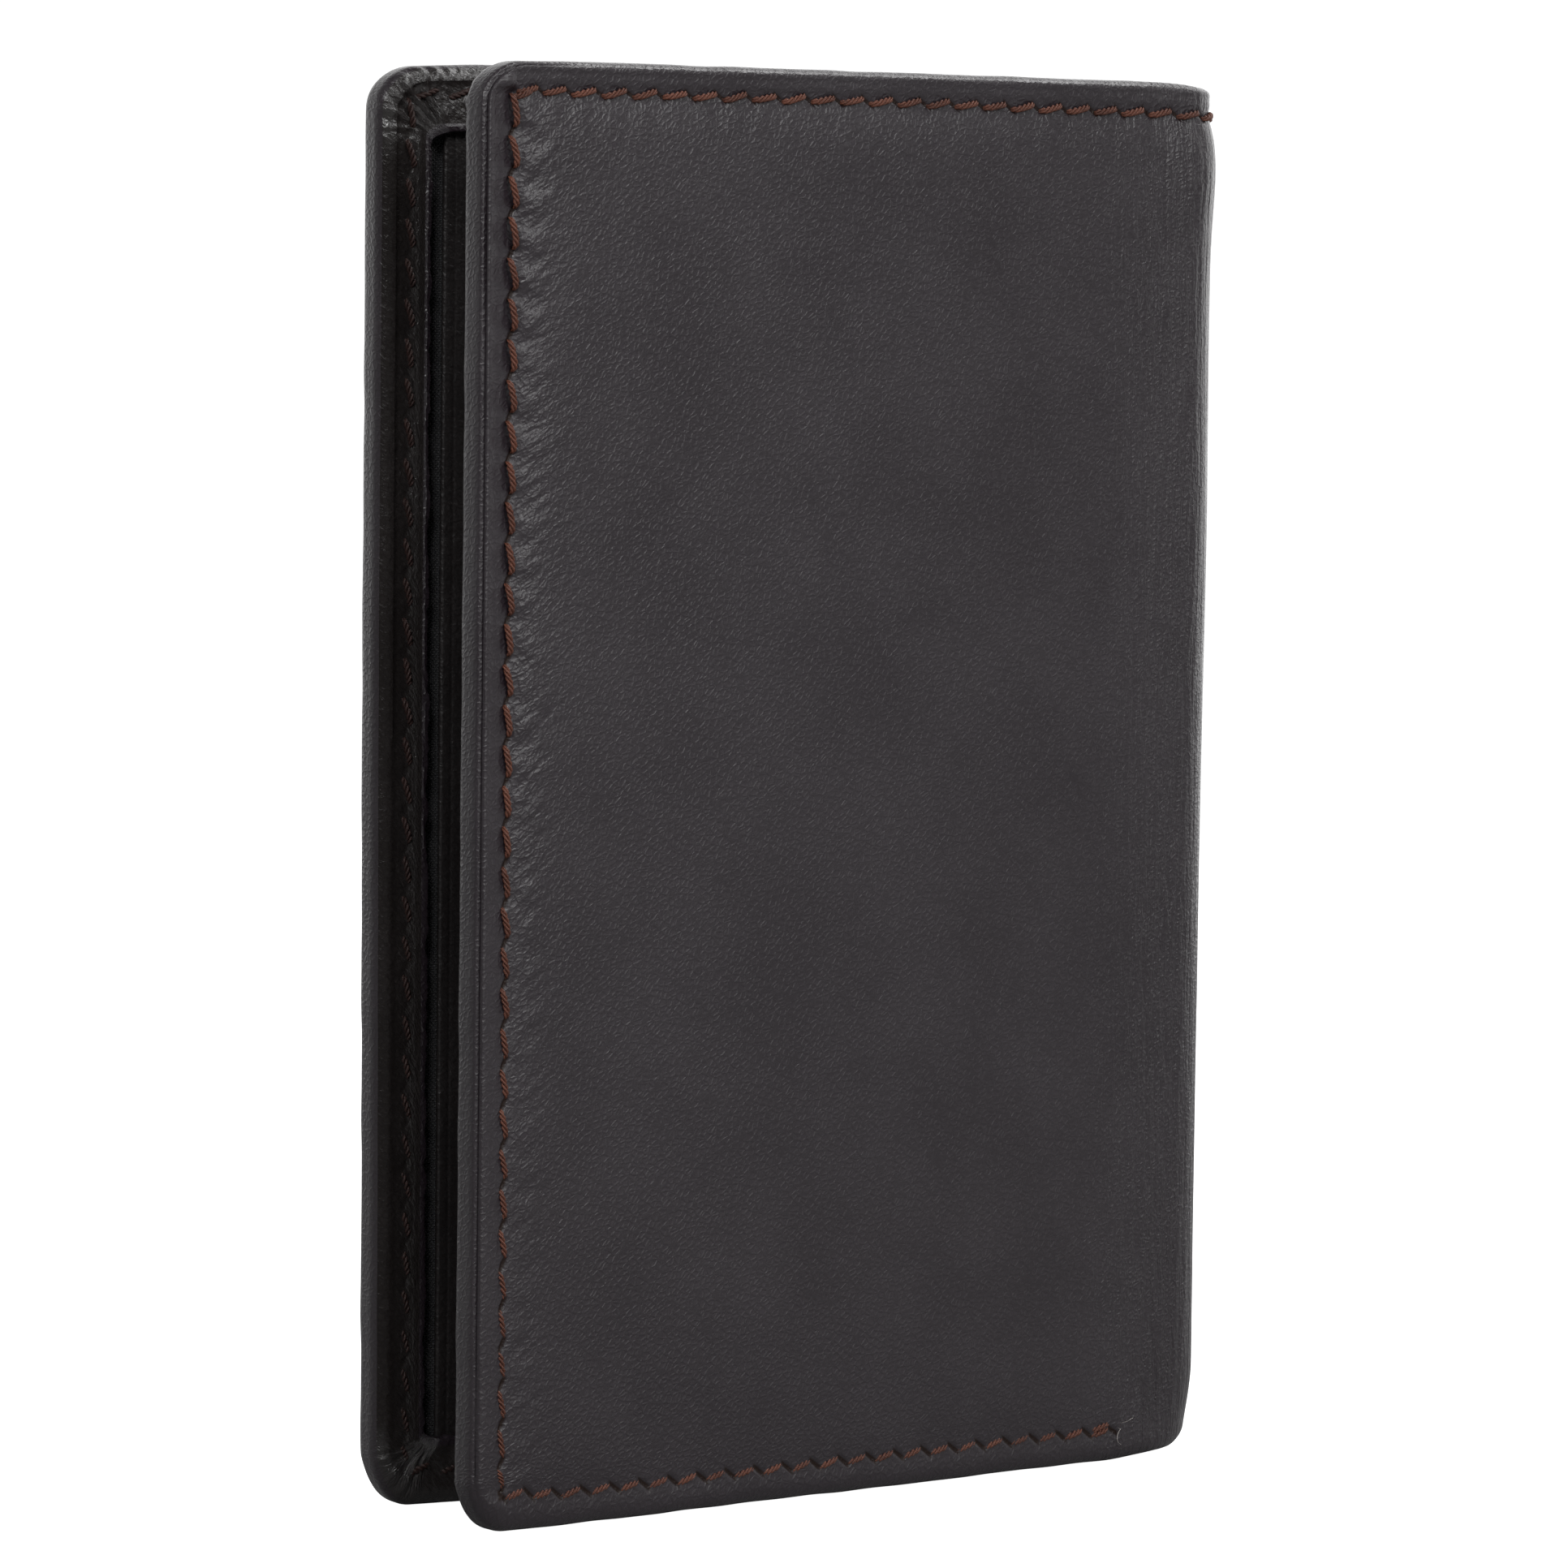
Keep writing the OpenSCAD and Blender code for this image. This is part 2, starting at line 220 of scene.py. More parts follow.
def make_mesh(name, verts, faces, materials, uv=None, face_slot=None, sharp=40):
    mesh = bpy.data.meshes.new(name)
    mesh.from_pydata(verts.tolist(), [], faces)
    for material in materials:
        mesh.materials.append(material)
    if face_slot is not None:
        mesh.polygons.foreach_set("material_index", np.asarray(face_slot, np.int32))
    if uv is not None:
        layer = mesh.uv_layers.new(name="leather")
        index = np.zeros(len(mesh.loops), np.int32)
        mesh.loops.foreach_get("vertex_index", index)
        layer.data.foreach_set("uv", uv[index].astype(np.float32).ravel())
    mesh.polygons.foreach_set("use_smooth", np.ones(len(mesh.polygons), bool))
    mesh.update()
    mesh.set_sharp_from_angle(angle=math.radians(sharp))
    obj = bpy.data.objects.new(name, mesh)
    bpy.context.scene.collection.objects.link(obj)
    return obj


# ---- slabs with swept edges ----
class Slab:
    """A closed slab whose edge profile is swept round its outline. rows holds (inset, depth,
    stride) from the outer face's border, round the edge, to the inner face's border. With
    spine_end the slab has three free edges and ends in a plain cut at s1. The table's columns are
    s, z, u, the inward direction in s and z, the inset, the profile's angle and the inset with the
    edge unrolled."""

    def __init__(self, rows, s0, s1, z0, z1, corner, step, spine_end=False):
        self.rows = np.array(rows, float)
        self.box = (s0, s1, z0, z1)
        self.corner = corner
        self.inset = self.rows[0, 0]
        self.spine_end = spine_end
        self.step = step
        self.points, self.faces, self.kinds = [], [], []
        self.count = 0
        self.build()

    def run(self, length):
        cells = max(4, 4 * int(round(length / self.step / 4)))
        return np.linspace(0, 1, cells + 1)

    def columns(self):
        """(leg, t) for each column; legs 0, 2, 4, 6 are straight and 1, 3, 5, 7 are corners."""
        s0, s1, z0, z1 = self.box
        along = self.run(s1 - s0 - 2 * self.inset)
        if self.spine_end:
            along = self.run(s1 - s0 - self.inset)
            fine = 0.03 / (s1 - s0)
            along[1], along[2] = fine, 2 * fine
        up = self.run(z1 - z0 - 2 * self.inset)
        turn = self.run(max(self.corner * math.pi / 2, 4 * self.step))
        legs = [along, turn, up, turn, 1 - along[::-1]]
        if not self.spine_end:
            legs += [turn, up, turn]
        pairs = [(k, t) for k, leg in enumerate(legs) for t in leg[:-1]]
        if self.spine_end:
            pairs.append((4, 1.0))
        self.along, self.up = along, up
        return np.array(pairs)

    def spot(self, leg, t, d):
        """Place and inward direction on the outline inset by d."""
        s0, s1, z0, z1 = self.box
        r = self.corner * (1 - d / self.inset)
        far = s1 if self.spine_end else s1 - d - r
        near, low, high = s0 + d + r, z0 + d + r, z1 - d - r
        straights = {
            0: (far, z0 + d, near, z0 + d, 0, 1),
            2: (s0 + d, low, s0 + d, high, 1, 0),
            4: (near, z1 - d, far, z1 - d, 0, -1),
            6: (s1 - d, high, s1 - d, low, -1, 0),
        }
        centres = {1: (near, low, 270), 3: (near, high, 180), 5: (far, high, 90), 7: (far, low, 360)}
        if leg in straights:
            a_s, a_z, b_s, b_z, in_s, in_z = straights[leg]
            return a_s + (b_s - a_s) * t, a_z + (b_z - a_z) * t, in_s, in_z
        cs, cz, start = centres[leg]
        angle = math.radians(start - 90 * t)
        return cs + r * math.cos(angle), cz + r * math.sin(angle), -math.cos(angle), -math.sin(angle)

    def add(self, block):
        ids = np.arange(self.count, self.count + len(block))
        self.points.append(np.asarray(block, float))
        self.count += len(block)
        return ids

    def face(self, corners, kind):
        ring = [c for i, c in enumerate(corners) if c != corners[i - 1]]
        if len(ring) > 2:
            self.faces.append(ring)
            self.kinds.append(kind)

    def centre(self, columns, u, stride, kind):
        """The grid inside the border. Returns it with the ids of the columns on its rim."""
        s0, s1, z0, z1 = self.box
        b = self.inset
        far = s1 if self.spine_end else s1 - b
        s = (far + (s0 + b - far) * self.along)[::stride]
        z = (z0 + b + (z1 - z0 - 2 * b) * self.up)[::stride]
        grid_s, grid_z = np.meshgrid(s, z, indexing="ij")
        rest = np.tile([u, 0, 1, b, kind * 180, b], (grid_s.size, 1))
        flat = np.column_stack([grid_s.ravel(), grid_z.ravel(), rest])
        ids = self.add(flat).reshape(grid_s.shape)
        for i in range(len(s) - 1):
            for j in range(len(z) - 1):
                ring = [ids[i, j], ids[i + 1, j], ids[i + 1, j + 1], ids[i, j + 1]]
                self.face(ring if kind else ring[::-1], kind)
        last_s, last_z = len(s) - 1, len(z) - 1
        tally = {leg: 0 for leg in range(8)}
        rim = []
        for leg, _ in columns:
            k = tally[leg] // stride
            tally[leg] += 1
            spots = {
                0: (min(k, last_s), 0), 1: (last_s, 0), 2: (last_s, min(k, last_z)), 3: (last_s, last_z),
                4: (max(last_s - k, 0), last_z), 5: (0, last_z), 6: (0, max(last_z - k, 0)), 7: (0, 0),
            }
            rim.append(ids[spots[int(leg)]])
        return ids, np.array(rim)

    def join(self, upper, lower, stride_a, stride_b, kind):
        n = len(upper)
        cells = n - 1 if self.spine_end else n
        step = max(stride_a, stride_b)
        for i in range(0, cells, step):
            j = (i + step) % n
            m = i + step // 2
            if stride_a == stride_b:
                self.face([upper[i], upper[j], lower[j], lower[i]], kind)
            elif stride_a < stride_b:
                self.face([upper[i], upper[m], lower[i]], kind)
                self.face([upper[m], upper[j], lower[j]], kind)
                self.face([upper[m], lower[j], lower[i]], kind)
            else:
                self.face([upper[i], lower[m], lower[i]], kind)
                self.face([upper[j], lower[j], lower[m]], kind)
                self.face([upper[i], upper[j], lower[m]], kind)

    def build(self):
        columns = self.columns()
        angles = profile_angles(self.rows)
        lengths = np.hypot(*np.diff(self.rows[:, :2], axis=0).T)
        unrolled = self.inset - np.concatenate([[0], np.cumsum(lengths)])
        outer, rim = self.centre(columns, self.rows[0, 1], int(self.rows[0, 2]), 0)
        above, stride_above = rim, int(self.rows[0, 2])
        loops = [rim]
        for k in range(1, len(self.rows) - 1):
            d, u, stride = self.rows[k]
            spots = np.array([self.spot(int(leg), t, d) for leg, t in columns])
            rest = np.tile([u, d, angles[k], unrolled[k]], (len(spots), 1))
            block = np.column_stack([spots[:, :2], rest[:, :1], spots[:, 2:], rest[:, 1:]])
            used = np.arange(len(columns)) % int(stride) == 0
            ids = np.full(len(columns), -1)
            ids[used] = self.add(block[used])
            self.join(above, ids, stride_above, int(stride), 2 if angles[k] > HEM_FROM else 1)
            above, stride_above = ids, int(stride)
            loops.append(ids)
        inner, rim = self.centre(columns, self.rows[-1, 1], int(self.rows[-1, 2]), 1)
        self.join(above, rim, stride_above, int(self.rows[-1, 2]), 3)
        loops.append(rim)
        if self.spine_end:
            first = [loop[0] for loop in loops]
            last = [loop[-1] for loop in loops]
            cap = list(outer[0][1:-1][::-1]) + first + list(inner[0][1:-1]) + last[::-1]
            self.faces.append([int(c) for c in cap][::-1])
            self.kinds.append(3)
        self.table = np.vstack(self.points)


def profile_angles(rows):
    """For each row, the angle from the outer face round the edge to the inner one."""
    step = np.gradient(rows[:, :2], axis=0)
    return np.degrees(np.arctan2(step[:, 1], -step[:, 0]))


def slab_object(name, slab, side, materials, shape, slots=None, sharp=40):
    """Displaces the slab's points with shape(table) and folds them into place."""
    s, z, u = shape(slab.table)[:3]
    faces = slab.faces if side == REAR else [f[::-1] for f in slab.faces]
    roll = slab.table[:, 7] - slab.table[:, 5]
    uv = np.column_stack([s + slab.table[:, 3] * roll, z + slab.table[:, 4] * roll]) * MM
    index = None if slots is None else [slots[k] for k in slab.kinds]
    return make_mesh(name, place(s, z, u, side), faces, materials, uv, index, sharp)


def arc_rows(centre_u, radius, angles):
    """Rows round part of an edge; 0 degrees faces out of the outer face and 90 out of the edge."""
    turns = np.radians(angles)
    return [(radius - radius * math.sin(a), centre_u - radius * math.cos(a), 1) for a in turns]


# ---- seams ----
def seam_legs():
    low, high = SEAM_END, HEIGHT - SEAM_END
    return [
        ((SEAM_STOP, low), (SEAM_SIDE, low), (0, 1), END_PITCH),
        ((SEAM_SIDE, low), (SEAM_SIDE, high), (1, 0), SIDE_PITCH),
        ((SEAM_SIDE, high), (MID_S, high), (0, -1), END_PITCH),
    ]


def patch_legs(s0, s1, z0, z1):
    corners = [(s0, z0), (s1, z0), (s1, z1), (s0, z1)]
    inwards = [(0, 1), (-1, 0), (0, -1)]
    return [(a, b, inward, PATCH_PITCH) for a, b, inward in zip(corners[:-1], corners[1:], inwards)]


def stitches(legs):
    """(start, end, inward, shift) of every stitch along the legs; shift moves it inwards."""
    found = []
    for a, b, inward, pitch in legs:
        a, b, inward = np.array([a, b, inward], float)
        count = int(round(np.linalg.norm(b - a) / pitch))
        for i in range(count):
            found.append((a + (b - a) * i / count, a + (b - a) * (i + 1) / count, inward, 0.0))
    return found


EDGE_STITCHES = stitches(seam_legs())


def seam_relief(s, z, legs, hand, puffed=1.0):
    """How far the leather sinks along a seam. It is pressed flat outside the seam, and inside it
    rises again in a puff beside each stitch, with wrinkles running inwards. hand is 1 where the
    slits between the stitches climb inwards along a leg, and -1 where they fall. puffed scales
    all that rises."""
    sink = np.zeros_like(s)
    for a, b, inward, pitch in legs:
        a, b, inward = np.array([a, b, inward], float)
        length = np.linalg.norm(b - a)
        along_dir = (b - a) / length
        along = (s - a[0]) * along_dir[0] + (z - a[1]) * along_dir[1]
        across = (s - a[0]) * inward[0] + (z - a[1]) * inward[1]
        held = smooth(along, -0.6, 0.3) * (1 - smooth(along, length - 0.3, length + 0.6))
        spacing = length / round(length / pitch)
        gap = ((along / spacing + 0.5) % 1 - 0.5) * spacing
        upright = abs(inward[0]) > 0.5
        strength = 1.0 if upright else END_STRENGTH
        skew = across - (SIDE_SLIT if upright else END_SLIT) * hand * gap
        slit = np.exp(-((skew / 0.22) ** 2) - (gap / 0.5) ** 4)
        valley = np.where(across > 0, np.exp(-((np.abs(across) / 2.2) ** 1.35)),
                          0.55 + 0.45 * np.exp(-((across / 1.1) ** 2)))
        # beside is 0.35 level with a slit and 1 beside the middle of a stitch
        beside = 0.35 + 0.65 * smooth(np.abs(gap + 0.3 * hand * across), 0.15, 1.25)
        beside = beside * (1 + 0.5 * noise(np.floor(along / spacing + 0.5) * 0.73, across * 0.4, 5))
        puff = strength * (PUFF + PUFF_MORE_AT_TOP * smooth(z, 75, 100)) * beside
        puff = puff * smooth(across, 0.1, 1.1) * (1 - smooth(across, 1.1, 4.5))
        lip = LIP * beside * bump(across, -0.75, 0.3)
        lean = along - 0.7 * hand * across
        pulls = 0.6 * noise(lean * 1.1, across * 0.22, 61) + noise(lean * 2.1, across * 0.4, 62)
        pulls = PULLS * pulls * smooth(across, 0.3, 0.8) * (1 - smooth(across, 1.5, 6.5))
        fade = 1 - 0.75 * smooth(-across, 1.2, 2.2)
        stronger_upwards = 0.35 + 0.75 * smooth(z, 10, 95)
        pressed = SEAM_VALLEY * stronger_upwards * (0.6 + 0.4 * strength) * valley + SLIT_DEPTH * slit
        one = held * fade * (pressed + puffed * stronger_upwards * (strength * pulls - puff - lip))
        sink = np.where(np.abs(one) > np.abs(sink), one, sink)
    return sink


def tube_faces(count, sides):
    """The faces of a tube of count rings, with a cap at each end."""
    faces = []
    for i in range(count - 1):
        for k in range(sides):
            n = (k + 1) % sides
            faces.append([i * sides + k, i * sides + n, (i + 1) * sides + n, (i + 1) * sides + k])
    return faces + [list(range(sides))[::-1], list(range((count - 1) * sides, count * sides))]


def ply_tube(path, side_dir, depth_dir, phase, turns, offset, radius, sides=6):
    """One ply of a twisted thread along a path in flat coordinates, thinner at both ends."""
    count = len(path)
    thin = (1 - 0.45 * np.abs(np.linspace(-1, 1, count)) ** 5)[:, None]
    swing = phase + turns * 2 * math.pi * np.linspace(0, 1, count)
    round_path = np.cos(swing)[:, None] * side_dir + np.sin(swing)[:, None] * depth_dir
    centre = path + offset * thin * round_path
    round_it = np.linspace(0, 2 * math.pi, sides, endpoint=False)
    ring = np.cos(round_it)[:, None] * side_dir + np.sin(round_it)[:, None] * depth_dir
    verts = (centre[:, None, :] + radius * thin[:, :, None] * ring[None, :, :]).reshape(-1, 3)
    return verts, tube_faces(count, sides)


def stitch_path(a, b, inward, slant, outward, shift, rise, count=22):
    """Centre line of a stitch from hole to hole, bowed out of the leather. outward is -1 where
    the leather faces -u and 1 where it faces +u."""
    t = np.linspace(-0.02, 1.02, count)
    bow = np.clip(1 - np.abs(2 * t - 1) ** 3, 0, 1) ** 0.6
    lift = (rise + 0.62) * bow - 0.62
    side = slant * (1 - 2 * smooth(t, 0.0, 1.0)) + shift
    span = 0.115 + 0.77 * t
    flat = a[None, :] + (b - a)[None, :] * span[:, None] + inward[None, :] * side[:, None]
    return np.column_stack([flat, lift * outward])


def fluff_paths():
    """Two wisps of loose fibre where the lower seam ends: a curl that hangs down and a hair."""
    t = np.linspace(0, 1, 30)
    curl_s = SEAM_STOP + 0.25 + 0.2 * np.sin(8.5 * t) * (0.5 + t)
    curl_z = SEAM_END + 0.45 - 1.5 * t - 0.16 * np.cos(8.5 * t)
    curl = np.column_stack([curl_s, curl_z, -0.12 - 0.12 * np.sin(math.pi * t)])
    hair_u = -0.04 - 0.1 * t * (1 - t)
    hair = np.column_stack([SEAM_STOP + 0.5 + 1.3 * t, SEAM_END + 0.6 + 0.3 * t ** 2, hair_u])
    return [curl, hair]


def thread_object(name, runs, side, depth, outward, slant, material, seed, proud=0.07, fluff=()):
    """Three-ply stitches. depth(s) gives the depth of the leather's face that they lie on, and
    proud is how far their centre line stands out from it."""
    rng = np.random.RandomState(seed)
    tubes = []
    for a, b, inward, shift in runs:
        lean = slant * (1 + 0.25 * rng.uniform(-1, 1))
        rise = proud + 0.04 * rng.uniform(-1, 1)
        path = stitch_path(a, b, inward, lean, outward, shift, rise)
        path[:, 2] += depth(path[:, 0])
        side_dir = np.array([inward[0], inward[1], 0.0])
        start = rng.uniform(0, math.pi)
        along = (b - a) @ np.array([-inward[1], inward[0]])
        for ply in range(3):
            turn = start + ply * 2 * math.pi / 3
            v, f = ply_tube(path, side_dir, DEPTH_DIR, turn, PLY_TURNS, PLY_OFFSET, PLY_R)
            if (along > 0) == (side == REAR):
                f = [ring[::-1] for ring in f]
            tubes.append((v, f, 0))
    for path in fluff:
        v, f = ply_tube(path, np.array([1.0, 0, 0]), DEPTH_DIR, 0, 0, 0, FLUFF_R, 5)
        tubes.append((v, f, 1))
    verts, faces, slots, total = [], [], [], 0
    for v, f, slot in tubes:
        faces += [[c + total for c in ring] for ring in f]
        slots += [slot] * len(f)
        verts.append(v)
        total += len(v)
    table = np.vstack(verts)
    placed = place(table[:, 0], table[:, 1], table[:, 2], side)
    return make_mesh(name, placed, faces, [material, LINT], table[:, :2] * MM, slots, sharp=80)


# ---- materials ----
# the rises are parts of a leather's grain depth; the warp is in metres
PEBBLE_RISE = 0.11
FINE_RISE = 0.06
CREASE_RISE = 0.09
INNER_CREASE_RISE = 0.4
PULL_RISE = 0.3
WARP = 0.00028
SHINE = 0.5
SLIT_SHINE = 0.14
MATT_HEM_SHINE = 0.08
# painted shade: the dark colour inside the open needle slits
SLIT_SHADE_COLOUR = (0.012, 0.0065, 0.005, 1)
DUST_COLOUR = (0.3, 0.3, 0.3, 1)

COVER_TONES = ((0.0115, 0.0075, 0.0105), (0.016, 0.0115, 0.015))
HEM_TONES = ((0.0135, 0.0115, 0.011), (0.019, 0.0162, 0.0158))
INNER_TONES = ((0.011, 0.0095, 0.0095), (0.016, 0.0137, 0.0137))
TRIM_TONES = ((0.0135, 0.0117, 0.0117), (0.0195, 0.0165, 0.0165))


class Nodes:
    """Short calls for building the nodes of a material or a world."""

    def __init__(self, owner):
        owner.use_nodes = True
        self.owner = owner
        self.tree = owner.node_tree

    def add(self, kind, values=None, **settings):
        node = self.tree.nodes.new("ShaderNode" + kind)
        for key, value in settings.items():
            setattr(node, key, value)
        for key, value in (values or {}).items():
            if isinstance(value, bpy.types.NodeSocket):
                self.tree.links.new(value, node.inputs[key])
            else:
                node.inputs[key].default_value = value
        return node

    def math(self, kind, a, b=0.0, c=0.0):
        return self.add("Math", {0: a, 1: b, 2: c}, operation=kind).outputs[0]

    def times(self, a, b):
        return self.math("MULTIPLY", a, b)

    def span(self, value, low, high, to_low=0.0, to_high=1.0):
        """Map Range with a smooth step."""
        node = self.add("MapRange", {
            "Value": value, "From Min": low, "From Max": high, "To Min": to_low, "To Max": to_high,
        }, interpolation_type="SMOOTHSTEP")
        return node.outputs["Result"]

    def stretch(self, vector, long, wide, turn):
        """Coordinates for a texture drawn out by long along the direction turn, in degrees."""
        node = self.add("Mapping", {
            "Vector": vector, "Rotation": (0, 0, math.radians(turn)), "Scale": (long, wide, 1.0),
        }, vector_type="TEXTURE")
        return node.outputs[0]

    def noise(self, vector, scale, detail=2.0, rough=0.5):
        node = self.add("TexNoise", {
            "Vector": vector, "Scale": scale, "Detail": detail, "Roughness": rough,
        })
        return node.outputs["Fac"]

    def mix(self, factor, a, b):
        node = self.add("Mix", {"Factor": factor, 6: a, 7: b}, data_type="RGBA")
        return node.outputs[2]

    def bump(self, height, distance):
        values = {"Height": height, "Distance": distance, "Strength": 1.0}
        return self.add("Bump", values).outputs[0]

    def set(self, **values):
        for key, value in values.items():
            socket = self.tree.nodes["Principled BSDF"].inputs[key.replace("_", " ")]
            if isinstance(value, bpy.types.NodeSocket):
                self.tree.links.new(value, socket)
            else:
                socket.default_value = value
        return self.owner


def slit_shade_mask(n, s, z, hand):
    """Where the needle has pulled the leather open, between the edge seam's stitches: a mask for
    painting shade into these slits, as a dark colour and a weaker reflection.
    """
    low, high = SEAM_END, HEIGHT - SEAM_END
    from_side = n.math("SUBTRACT", s, SEAM_SIDE * MM)
    from_low = n.math("SUBTRACT", z, low * MM)
    from_high = n.math("SUBTRACT", high * MM, z)
    to_stop = n.math("SUBTRACT", SEAM_STOP * MM, s)
    # across and along the seam, its length, pitch, running coordinate, first and last slit, slope
    legs = [
        (from_side, from_low, high - low, SIDE_PITCH, z, low, high - 1, SIDE_SLIT),
        (from_high, from_side, MID_S - SEAM_SIDE, END_PITCH, s, SEAM_SIDE + 1, MID_S + 9, END_SLIT),
        (from_low, to_stop, SEAM_STOP - SEAM_SIDE, END_PITCH, s, SEAM_SIDE, SEAM_STOP, END_SLIT),
    ]
    total = None
    for across, along, length, pitch, run, start, end, slope in legs:
        spacing = length / round(length / pitch) * MM
        turns = n.math("MULTIPLY_ADD", along, 1 / spacing, 0.5)
        gap = n.times(n.math("SUBTRACT", n.math("FRACT", turns), 0.5), spacing)
        skew = n.math("ABSOLUTE", n.math("MULTIPLY_ADD", gap, -slope * hand, across))
        thin = n.span(skew, 0.0001, 0.00027, 1.0, 0.0)
        short = n.span(n.math("ABSOLUTE", gap), 0.0004, 0.00072, 1.0, 0.0)
        begun = n.span(run, (start - 0.4) * MM, (start - 0.2) * MM)
        not_over = n.span(run, (end + 0.2) * MM, (end + 0.4) * MM, 1.0, 0.0)
        inside = n.times(begun, not_over)
        mask = n.times(n.times(thin, short), inside)
        total = mask if total is None else n.math("MAXIMUM", total, mask)
    return total


def outer_wrinkles(n, s, z, bent, creases, patchy, height):
    """Adds the outer leather's worn creases, its pulls beside the seam and its folds at the spine."""
    near_pocket = n.span(n.math("MULTIPLY_ADD", z, -0.35, s), -0.03, 0.035, 1.0, 0.3)
    worn = n.times(patchy, near_pocket)
    below_top = n.span(z, (HEIGHT - 3.5) * MM, (HEIGHT - 2) * MM, 1.0, 0.0)
    inside = n.times(n.span(s, 0.002, 0.004), below_top)
    worn = n.times(worn, n.span(inside, 0.0, 1.0, 0.25, 1.0))
    height = n.math("MULTIPLY_ADD", n.times(creases, worn), CREASE_RISE, height)
    near_seam = n.times(n.span(s, 0.003, 0.011, 1.0, 0.0), inside)
    near_seam = n.times(near_seam, n.span(z, 0.01, 0.09, 0.3, 1.0))
    near_seam = n.times(near_seam, PULL_RISE)
    pulls = n.noise(n.stretch(bent, 3.0, 0.9, 24), 1500.0, 2.0, 0.55)
    height = n.math("MULTIPLY_ADD", n.span(pulls, 0.3, 0.7), near_seam, height)
    near_fold = n.span(s, (LEAF - 12) * MM, (LEAF + 1) * MM)
    near_fold = n.times(near_fold, n.span(z, 0.0, 0.05, 0.7, 0.35))
    folds = n.noise(n.stretch(bent, 9.0, 0.75, 90), 1300.0, 3.0, 0.6)
    return n.math("MULTIPLY_ADD", n.span(folds, 0.35, 0.65), near_fold, height)


def dusted(n, coords, colour):
    """A few specks of pale dust."""
    dust = n.add("TexVoronoi", {"Vector": coords, "Scale": 260.0, "Randomness": 1.0})
    chance = n.add("SeparateColor", {0: dust.outputs["Color"]}).outputs[0]
    rare = n.math("GREATER_THAN", chance, 0.93)
    speck = n.times(n.math("LESS_THAN", dust.outputs["Distance"], 0.016), rare)
    return n.mix(speck, colour, DUST_COLOUR)


def hem_shine(n, s, z):
    """The turn from the edge into the hem is rubbed matt, except at the corners, and so is the
    raw edge."""
    straight = n.times(n.span(z, 0.004, 0.007), n.span(z, 0.0975, 0.1005, 1.0, 0.0))
    roll = n.times(straight, n.span(s, -0.0044, -0.0034))
    raw_side = n.span(s, -0.0066, -0.0058, 1.0, 0.0)
    raw_top = n.span(z, (HEIGHT + 5.8) * MM, (HEIGHT + 6.6) * MM)
    raw = n.math("MAXIMUM", raw_side, raw_top)
    return n.math("MULTIPLY_ADD", n.math("MAXIMUM", roll, raw), MATT_HEM_SHINE - SHINE, SHINE)


def leather(name, tones, rough, grain_depth, hand=0, uv=True, shine=SHINE, dull_roll=False):
    """Fine pebbled calf: cells about 0.45 mm across, with creases and colour that varies. hand is
    not 0 on the outer leather, which also wrinkles beside its seam and at the fold."""
    n = Nodes(bpy.data.materials.new(name))
    dark, light = tones
    if uv:
        coords = n.add("UVMap", uv_map="leather").outputs[0]
    else:
        coords = n.add("TexCoord").outputs["Object"]
    split = n.add("SeparateXYZ", {0: coords})
    s, z = split.outputs[0], split.outputs[1]
    warp = n.add("TexNoise", {"Vector": coords, "Scale": 1200.0, "Detail": 2.0}).outputs["Color"]
    shift = n.add("VectorMath", {0: warp, 1: (WARP,) * 3}, operation="MULTIPLY").outputs[0]
    bent = n.add("VectorMath", {0: coords, 1: shift}, operation="ADD").outputs[0]
    cells = n.add("TexVoronoi", {"Vector": n.stretch(bent, 1.3, 1.0, 30), "Scale": 2400.0},
                  feature="DISTANCE_TO_EDGE").outputs["Distance"]
    pebble = n.span(cells, 0.0, 0.3)
    fine = n.noise(coords, 6000.0, 3.0, 0.6)
    creases = n.span(n.noise(n.stretch(bent, 1.7, 0.9, 36), 2100.0, 3.0, 0.6), 0.36, 0.64)
    big = n.noise(coords, 90.0, 3.0, 0.55)
    patchy = n.span(big, 0.35, 0.65, 0.7, 1.0)
    height = n.math("MULTIPLY_ADD", pebble, PEBBLE_RISE, n.times(fine, FINE_RISE))
    if hand:
        height = outer_wrinkles(n, s, z, bent, creases, patchy, height)
    else:
        creased = n.times(creases, patchy)
        height = n.math("MULTIPLY_ADD", creased, INNER_CREASE_RISE, height)
    tone = n.math("MULTIPLY_ADD", fine, 0.25, n.times(big, 0.75))
    colour = n.mix(n.span(tone, 0.35, 0.65), (*dark, 1), (*light, 1))
    # painted shade in the hollows between the pebbles: the colour darkens towards each cell's edge,
    # where the bump is lowest
    shade_between_pebbles = (dark[0] * 0.55, dark[1] * 0.5, dark[2] * 0.5, 1)
    colour = n.mix(n.span(pebble, 0.0, 1.0, 0.35, 0.0), colour, shade_between_pebbles)
    if hand:
        # painted shade in the needle slits: their colour is darkened and their reflection turned down
        slits = slit_shade_mask(n, s, z, hand)
        colour = n.mix(slits, colour, SLIT_SHADE_COLOUR)
        shine = n.math("MULTIPLY_ADD", slits, SLIT_SHINE - SHINE, SHINE)
        colour = dusted(n, coords, colour)
    if dull_roll:
        shine = hem_shine(n, s, z)
    uneven = n.math("MULTIPLY_ADD", fine, 0.5, n.times(big, 0.5))
    roughness = n.span(uneven, 0.3, 0.7, rough - 0.05, rough + 0.06)
    return n.set(Base_Color=colour, Roughness=roughness, Specular_IOR_Level=shine,
                 Normal=n.bump(height, grain_depth))


